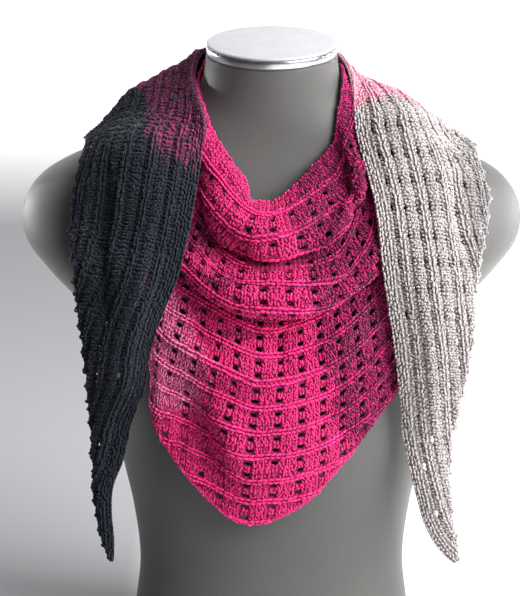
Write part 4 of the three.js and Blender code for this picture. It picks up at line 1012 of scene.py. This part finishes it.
UPPER_CREASES = (
    ([(-48, 454), (-34, 432), (-16, 422)], 6, -5.0, "front"),
    ([(-50, 506), (-33, 484), (-22, 470)], 6, 4.5, "front"),
    ([(-40, 466), (-19, 448), (12, 441), (44, 450)], 8, 3.5, "front"),
    ([(40, 430), (62, 450), (76, 474)], 6, 5.0, "front"),
    ([(34, 450), (56, 462), (70, 490)], 8, -6.0, "front"),
    ([(-58, 476), (-66, 506)], 6, -3.0, "front"),
    ([(97, 428), (91, 462), (81, 500), (71, 545)], 6, 5.0, "front"),
    ([(84, 436), (78, 468), (66, 500)], 7, -5.0, "front"),
)
PALE_CREASES = (
    ([(168, 520), (180, 487), (180, 453), (188, 414)], 9, -12.0, "front"),
    ([(205, 500), (212, 470), (214, 430)], 10, 4.0, "front"),
    ([(168, 375), (173, 316), (167, 247)], 8, -4.0, "front"),
    ([(119, 426), (134, 348), (143, 259), (156, 179)], 9, -3.5, "front"),
    ([(140, 520), (156, 486), (160, 440)], 9, 3.0, "front"),
    ([(60, 560), (70, 500), (60, 430)], 12, -5.0, "back"),
    ([(110, 530), (118, 470), (104, 400)], 11, 4.5, "back"),
)
DARK_CREASES = (
    ([(-154, 509), (-162, 430), (-158, 341)], 9, -8.0, "front"),
    ([(-113, 473), (-126, 376), (-144, 278)], 10, 4.0, "front"),
    ([(-147, 272), (-163, 196)], 7, -4.0, "front"),
    ([(-96, 536), (-104, 500)], 7, -3.0, "front"),
    ([(-60, 576), (-74, 500), (-60, 410)], 12, -6.0, "back"),
    ([(-20, 580), (-26, 490), (-14, 400)], 13, 5.0, "back"),
    ([(20, 576), (30, 500), (44, 430)], 11, -5.0, "back"),
    ([(-110, 540), (-128, 470), (-120, 400)], 10, 4.0, "back"),
)
GREY_ZONE = np.array([(-86, 392), (-80, 381), (-68, 352), (-54, 308), (-61, 278), (-83, 265), (-126, 261), (-160, 262)], float)
DARK_ZONE = np.array([(10, 570), (19, 523), (23, 448), (38, 390), (46, 342), (57, 283), (77, 224), (92, 170)], float)


def beside(line, p):
    """Signed distance in x and z from a line: above 0 on its right as it is followed."""
    q = p[..., [0, 2]]
    best, sign = np.full(q.shape[:-1], 1e9), np.ones(q.shape[:-1])
    for a, b in zip(line[:-1], line[1:]):
        ab = b - a
        t = np.clip(((q - a) @ ab) / (ab @ ab), 0, 1)
        off = q - (a + t[..., None] * ab)
        d = np.linalg.norm(off, axis=-1)
        closer = d < best
        turn = ab[0] * (q[..., 1] - a[1]) - ab[1] * (q[..., 0] - a[0])
        best = np.where(closer, d, best)
        sign = np.where(closer, np.where(turn < 0, 1.0, -1.0), sign)
    return best * sign


def step(x, width):
    return 1 / (1 + np.exp(-np.clip(x / width, -30, 30)))


def rows(s, w):
    """The shades change row by row, so their border is ragged."""
    return 6 * np.sin(w * 1.83) + 5 * np.sin(w * 0.71 + s * 0.04)


def tone_dark(s, w, p):
    return 0.05 + 0.20 * step(s - (415 + 0.0073 * w**2) + rows(s, w), 5)


def tone_pale(s, w, p):
    # painted shade: the outer strip of the shoulder, a fold turned away from the light, is shifted to a darker grey
    turned_away_shade = step(p[..., 0] - 182, 5) * step(p[..., 2] - 385, 12)
    return 0.905 + 0.075 * turned_away_shade - (0.145 + 0.075 * turned_away_shade) * step(s - 480 + 4 * np.sin(w * 1.9), 6)


# painted shade: darker patches in the folds of the front, where shade falls: x, z, reach in x and z, weight
FOLD_SHADE_SPOTS = ((-66, 438, 26, 26, 0.11), (-70, 350, 40, 9, 0.10), (-20, 346, 40, 8, 0.05), (-84, 240, 16, 34, 0.07), (62, 446, 30, 10, 0.05),
               (88, 357, 20, 15, 0.035), (-50, 402, 26, 8, 0.09), (-5, 396, 40, 5, 0.05), (72, 332, 26, 18, 0.018))


def tone_front(s, w, p):
    black = step(-beside(DARK_ZONE, p) + rows(s, w), 6)
    pale = step(beside(GREY_ZONE, p) + rows(s, w), 8)
    # painted shade in the folds, given as a shift of the tone towards plum
    fold_shade = sum(wt * np.exp(-(((p[..., 0] - x) / rx) ** 2 + ((p[..., 2] - z) / rz) ** 2)) for x, z, rx, rz, wt in FOLD_SHADE_SPOTS)
    return 0.5 - 0.135 * black + 0.12 * pale - np.minimum(fold_shade, 0.10) * (1 - pale)


def tone_cowl(s, w, p):
    black = step(-beside(DARK_ZONE, p) + rows(s, w), 6)
    back = step(p[..., 1] - 10, 12)
    side = np.where(p[..., 0] < 0, 0.5, 0.38)
    return (0.5 - 0.135 * black) * (1 - back) + side * back


bib = Cloth(FRONT_PANEL, 3.2, s_column=0.5, s_from=3.4, w_start=[113.5 + o for o in (34, 30, 26, 20, 8, 0, 4, 12, 22, 30, 36)],
            creases=BIB_CREASES, nu=300, nv=110)
lower = Cloth(COWL_LOWER, 3.2, s_column=0.5, s_from=4.0, w_start=16.0, creases=LOWER_CREASES, nu=280, nv=80)
upper = Cloth(COWL_UPPER, 3.2, s_column=0.5, s_from=0.0, w_start=0.0, creases=UPPER_CREASES, nu=360, nv=70)
pale = Cloth(TAIL_PALE, 9.0, creases=PALE_CREASES, nu=380, nv=150)
dark = Cloth(TAIL_DARK, 9.0, creases=DARK_CREASES, nu=400, nv=160)

SLACK = dict(repeat_s=26.0, repeat_w=24.6, band=BAND, hole_w=SLIT_W, ridge=(1.1, 1.3, -1.5), slack=True)
knits = {
    "front_panel": Knit(bib, "front_panel_cloth", tone_front, phase=0.0, picot=(9.0, 0.9), seed=11,
                        opened=lambda s, w, p: 0.15 if p[0] < -36 - 0.15 * (p[2] - 200) and p[2] < 300 else 0.95),
    "cowl_lower": Knit(lower, "cowl_lower_cloth", tone_front, phase=2.0, seed=12),
    "cowl_upper": Knit(upper, "cowl_upper_cloth", tone_cowl, phase=6.0, edge_top=(17.0, 1.6), edge_shape=((221, 10, 5.0), (246, 9, -9.0), (268, 8, 1.5)), seed=13,
                       opened=lambda s, w, p: 0.0 if w < 24 else 0.6),
    "tail_pale": Knit(pale, "tail_pale_cloth", tone_pale, phase=-1.0, picot=(15.5, 1.3), seed=14,
                      opened=lambda s, w, p: 0.55 if s < 240 else 0.9, **SLACK),
    "tail_dark": Knit(dark, "tail_dark_cloth", tone_dark, phase=4.0, picot=(15.5, 2.1), seed=15,
                      opened=lambda s, w, p: 0.35 if 90 < s < 330 and w > 22 else 0.0, **dict(SLACK, ridge=(0.9, 1.0, -1.1))),
}
CLOTHS = {"front_panel": bib, "cowl_lower": lower, "cowl_upper": upper, "tail_pale": pale, "tail_dark": dark}
OVER = {"front_panel": ["cowl_lower"], "cowl_lower": ["cowl_upper"], "cowl_upper": ["tail_dark"], "tail_pale": ["tail_dark"], "tail_dark": []}

yarn_pink = yarn_material("yarn_pink", 0.12, 0.60, 0.74, 0.42)
yarn_pale = yarn_material("yarn_pale", 0.25, 0.82, 0.86, 0.34)
yarn_dark = yarn_material("yarn_dark", 0.22, 0.88, 0.92, 0.24, (0.80, 0.90, 1.0, 1.0))
web_pink, web_pale, web_dark = web_material("web_pink", 0.05, 0.36), web_material("web_pale", 0.15, 0.52), web_material("web_dark", 0.2, 0.9)
FINISH = {
    "front_panel": (yarn_pink, web_pink, "yarn_pink"), "cowl_lower": (yarn_pink, web_pink, "yarn_pink"),
    "cowl_upper": (yarn_pink, web_pink, "yarn_pink"), "tail_pale": (yarn_pale, web_pale, "yarn_pale"),
    "tail_dark": (yarn_dark, web_dark, "yarn_dark"),
}
MAX_LEGS = 6400  # legs in one piece: under 200,000 triangles

report = {}
for node, knit in knits.items():
    yarn, web, slot = FINISH[node]
    cloth_piece = knit.web()
    cloth_piece.data.materials.append(web)
    hidden = covered_by([CLOTHS[o] for o in OVER[node]]) if OVER[node] else None
    legs = knit.legs(knit.stitches(), hidden)
    order = np.argsort(legs["s"])
    parts = []
    count = max(1, math.ceil(len(order) / MAX_LEGS))
    for k, chunk in enumerate(np.array_split(order, count)):
        part = {key: val[chunk] for key, val in legs.items()}
        ob = leg_mesh(f"{node}_stitches_{k + 1}", part)
        ob.data.materials.append(yarn)
        parts.append(ob)
    report[node] = (len(order), len(cloth_piece.data.polygons))
    for ob in [cloth_piece] + parts:
        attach(ob, "root")
        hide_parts(node)
print("KNIT", report)

# ------------------------------------------------------------------ the form
SIDES_HI, RINGS_HI = 168, 170
TILT = math.radians(NECK_TILT)


def form_ring(z0, tilt, inset=0.0):
    a = np.linspace(0, 2 * math.pi, SIDES_HI, endpoint=False)
    c, s = np.cos(a), np.sin(a)
    z = np.full(SIDES_HI, float(z0))
    mid = form_section(np.array([float(z0)]))[0, 2]
    for _ in range(4):
        q = form_section(z)
        x = (q[:, 0] - inset) * np.sign(c) * np.abs(c) ** (2 / q[:, 3])
        y = q[:, 2] + (q[:, 1] - inset) * np.sign(s) * np.abs(s) ** (2 / q[:, 3])
        z = z0 + (y - mid) * math.tan(tilt)
    return np.stack([x, y, z], -1)


def skin_of_rings(name, rings):
    rings = np.array(rings)
    nr, n = rings.shape[:2]
    ids = np.arange(nr * n).reshape(nr, n)
    nxt = np.roll(ids, -1, axis=1)
    quads = np.stack([ids[:-1], nxt[:-1], nxt[1:], ids[1:]], -1).reshape(-1, 4)
    verts = np.concatenate([rings.reshape(-1, 3), rings[0].mean(0)[None], rings[-1].mean(0)[None]])
    hub0, hub1 = nr * n, nr * n + 1
    fan0 = np.stack([np.full(n, hub0), nxt[0], ids[0], np.full(n, -1)], -1)
    fan1 = np.stack([np.full(n, hub1), ids[-1], nxt[-1], np.full(n, -1)], -1)
    polys = np.concatenate([quads, fan0, fan1])
    return new_mesh(name, verts, polys)


def torso_rings():
    rings = [form_ring(0, 0, 4.5), form_ring(0.35, 0, 3.2), form_ring(1.4, 0, 1.4), form_ring(3.2, 0, 0.4)]
    lean_from, z_from, z_to = 548, 5.0, NECK_TOP_Z - 3
    for r in range(RINGS_HI):
        z = z_from + (z_to - z_from) * r / (RINGS_HI - 1)
        rings.append(form_ring(z, TILT * min(max((z - lean_from) / (NECK_TOP_Z - lean_from), 0), 1)))
    rings += [form_ring(NECK_TOP_Z - 1.0, TILT, 0.25), form_ring(NECK_TOP_Z - 0.2, TILT, 0.8), form_ring(NECK_TOP_Z, TILT, 1.5)]
    return rings


def neck_disc(name, steps, sides=120):
    """steps: (height over the neck's top plane, radius)."""
    mid = form_section(np.array([NECK_TOP_Z]))[0, 2]
    a = np.linspace(0, 2 * math.pi, sides, endpoint=False)
    rings = []
    for h, r in steps:
        x, y = r * np.cos(a), r * np.sin(a)
        rings.append(np.stack([x, mid + y * math.cos(TILT) - h * math.sin(TILT), NECK_TOP_Z + y * math.sin(TILT) + h * math.cos(TILT)], -1))
    return skin_of_rings(name, rings)


torso = skin_of_rings("torso_shell", torso_rings())
lo, hi = SEAM_GAP, SEAM_GAP + COLLAR_HEIGHT
collar = neck_disc("neck_collar_ring", [(lo, NECK_RADIUS - 1.0), (lo + 0.3, NECK_RADIUS - 0.3), (lo + 1.0, NECK_RADIUS),
                                        (hi - 1.0, NECK_RADIUS), (hi - 0.3, NECK_RADIUS - 0.3), (hi, NECK_RADIUS - 1.0)])
lo, hi = 2 * SEAM_GAP + COLLAR_HEIGHT, 2 * SEAM_GAP + COLLAR_HEIGHT + CAP_HEIGHT
cap = neck_disc("neck_cap_disc", [(lo, NECK_RADIUS - 1.4), (lo + 0.4, NECK_RADIUS - 0.7), (lo + 1.2, NECK_RADIUS - 0.5), (hi - 0.8, NECK_RADIUS - 0.7),
                                  (hi - 0.2, NECK_RADIUS - 1.4), (hi, NECK_RADIUS - 2.4)])
for ob, mat, node, slot in ((torso, form_material(), "torso", "form_grey"), (collar, collar_material(), "neck_collar", "collar_steel"),
                            (cap, cap_material(), "neck_cap", "cap_white")):
    ob.data.materials.append(mat)
    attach(ob, "root")
    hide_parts(node)

# ------------------------------------------------------------------ studio
def plain(name, colour, rough=0.9):
    k = Nodes(name)
    k.bsdf.inputs["Base Color"].default_value = colour
    k.set(Roughness=rough, Specular_IOR_Level=0.1)
    return k.m


def backdrop():
    """A floor that curves up into a wall far behind, in one sweep."""
    prof = [(-6.0, 0.0), (-0.5, 0.0), (4.2, 0.0)]
    for i in range(1, 25):
        a = math.pi / 2 * i / 24
        prof.append((4.2 + 1.6 * math.sin(a), 1.6 - 1.6 * math.cos(a)))
    prof += [(5.8, 6.0)]
    verts, polys = [], []
    for x in (-7.0, 7.0):
        verts += [(x * 1000, y * 1000, z * 1000 - 0.6) for y, z in prof]
    n = len(prof)
    for i in range(n - 1):
        polys.append((i, n + i, n + i + 1, i + 1))
    return new_mesh("backdrop", verts, polys)


def paper():
    """White paper that glows as painted light, fading out towards the front, with a painted shadow: grey and glowing
    less behind the form's shaded side.
    """
    k = Nodes("backdrop_paper")
    split = k.node("ShaderNodeSeparateXYZ")
    k.link(k.node("ShaderNodeTexCoord").outputs["Object"], split.inputs[0])
    # painted shadow: a grey patch low on the left, behind the form's shaded side
    left = k.math("MULTIPLY", k.math("ADD", split.outputs["X"], 0.02), -7.0, clamp=True)
    near = k.math("MULTIPLY", k.math("ADD", split.outputs["Y"], 0.25), 4.0, clamp=True)
    far = k.math("SUBTRACT", 1.0, k.math("MULTIPLY", k.math("SUBTRACT", split.outputs["Y"], 2.4), 0.55, clamp=True), clamp=True)
    painted_shadow = k.math("MULTIPLY", k.math("MULTIPLY", left, near), far)
    paper_tone = k.mix(painted_shadow, srgb(248, 248, 249), srgb(196, 196, 200))
    # a dark flag on the floor, out of the picture, keeps the form's left in shade
    flag = k.math("MULTIPLY", k.math("MULTIPLY", split.outputs["X"], -5.0, clamp=True), k.math("MULTIPLY", split.outputs["Y"], -5.0, clamp=True))
    k.link(k.mix(flag, paper_tone, srgb(132, 132, 134)), k.bsdf.inputs["Base Color"])
    # painted light: the paper glows, fading out towards the front and dimmer under the painted shadow
    glow = k.math("MULTIPLY", split.outputs["Y"], 3.0, clamp=True)
    k.link(k.mix(k.math("MULTIPLY", painted_shadow, 0.92), k.mix(glow, (0, 0, 0, 1), (0.9, 0.9, 0.91, 1)), (0, 0, 0, 1)), k.bsdf.inputs["Emission Color"])
    k.set(Roughness=0.95, Specular_IOR_Level=0.05, Emission_Strength=1.0)
    return k.m


drop = backdrop()
drop.data.materials.append(paper())


def area_light(name, at, size, power, aim=(0, 0, 0.36), colour=(1, 1, 1), size_y=None, spread=None):
    lamp = bpy.data.lights.new(name, "AREA")
    lamp.shape = "RECTANGLE" if size_y else "SQUARE"
    lamp.size = size
    if size_y:
        lamp.size_y = size_y
    if spread:
        lamp.spread = spread
    lamp.energy = power
    lamp.color = colour
    ob = bpy.data.objects.new(name, lamp)
    ob.location = at
    ob.rotation_euler = (Vector(aim) - Vector(at)).to_track_quat("-Z", "Y").to_euler()
    bpy.context.scene.collection.objects.link(ob)
    return ob


area_light("key", (1.58, -1.02, 1.45), 1.8, 108, aim=(0, 0, 0.33), colour=(1.0, 0.99, 0.98))
area_light("top", (0.0, 0.2, 2.6), 1.6, 15)
area_light("rim_left", (-1.7, 0.85, 0.62), 0.3, 0.42, aim=(-0.235, 0, 0.43), spread=math.radians(12))
area_light("rim_right", (1.7, 0.65, 0.62), 0.3, 0.32, aim=(0.235, 0, 0.43), spread=math.radians(12))

world = bpy.data.worlds.new("studio")
world.use_nodes = True
world.node_tree.nodes["Background"].inputs[0].default_value = (0.95, 0.96, 1.0, 1)
world.node_tree.nodes["Background"].inputs[1].default_value = 0.05
bpy.context.scene.world = world

cam = bpy.data.cameras.new("camera")
cam.sensor_fit = "VERTICAL"
cam.sensor_height = 36.0
cam.lens = 2200 * 36.0 / 596
cam.clip_end = 50
camera = bpy.data.objects.new("camera", cam)
camera.location = (-0.0055, -2.2 * math.cos(math.radians(12)), 0.357 + 2.2 * math.sin(math.radians(12)))
camera.rotation_euler = (math.radians(78), 0, 0)
bpy.context.scene.collection.objects.link(camera)
bpy.context.scene.camera = camera
bpy.context.scene.view_settings.view_transform = "Standard"
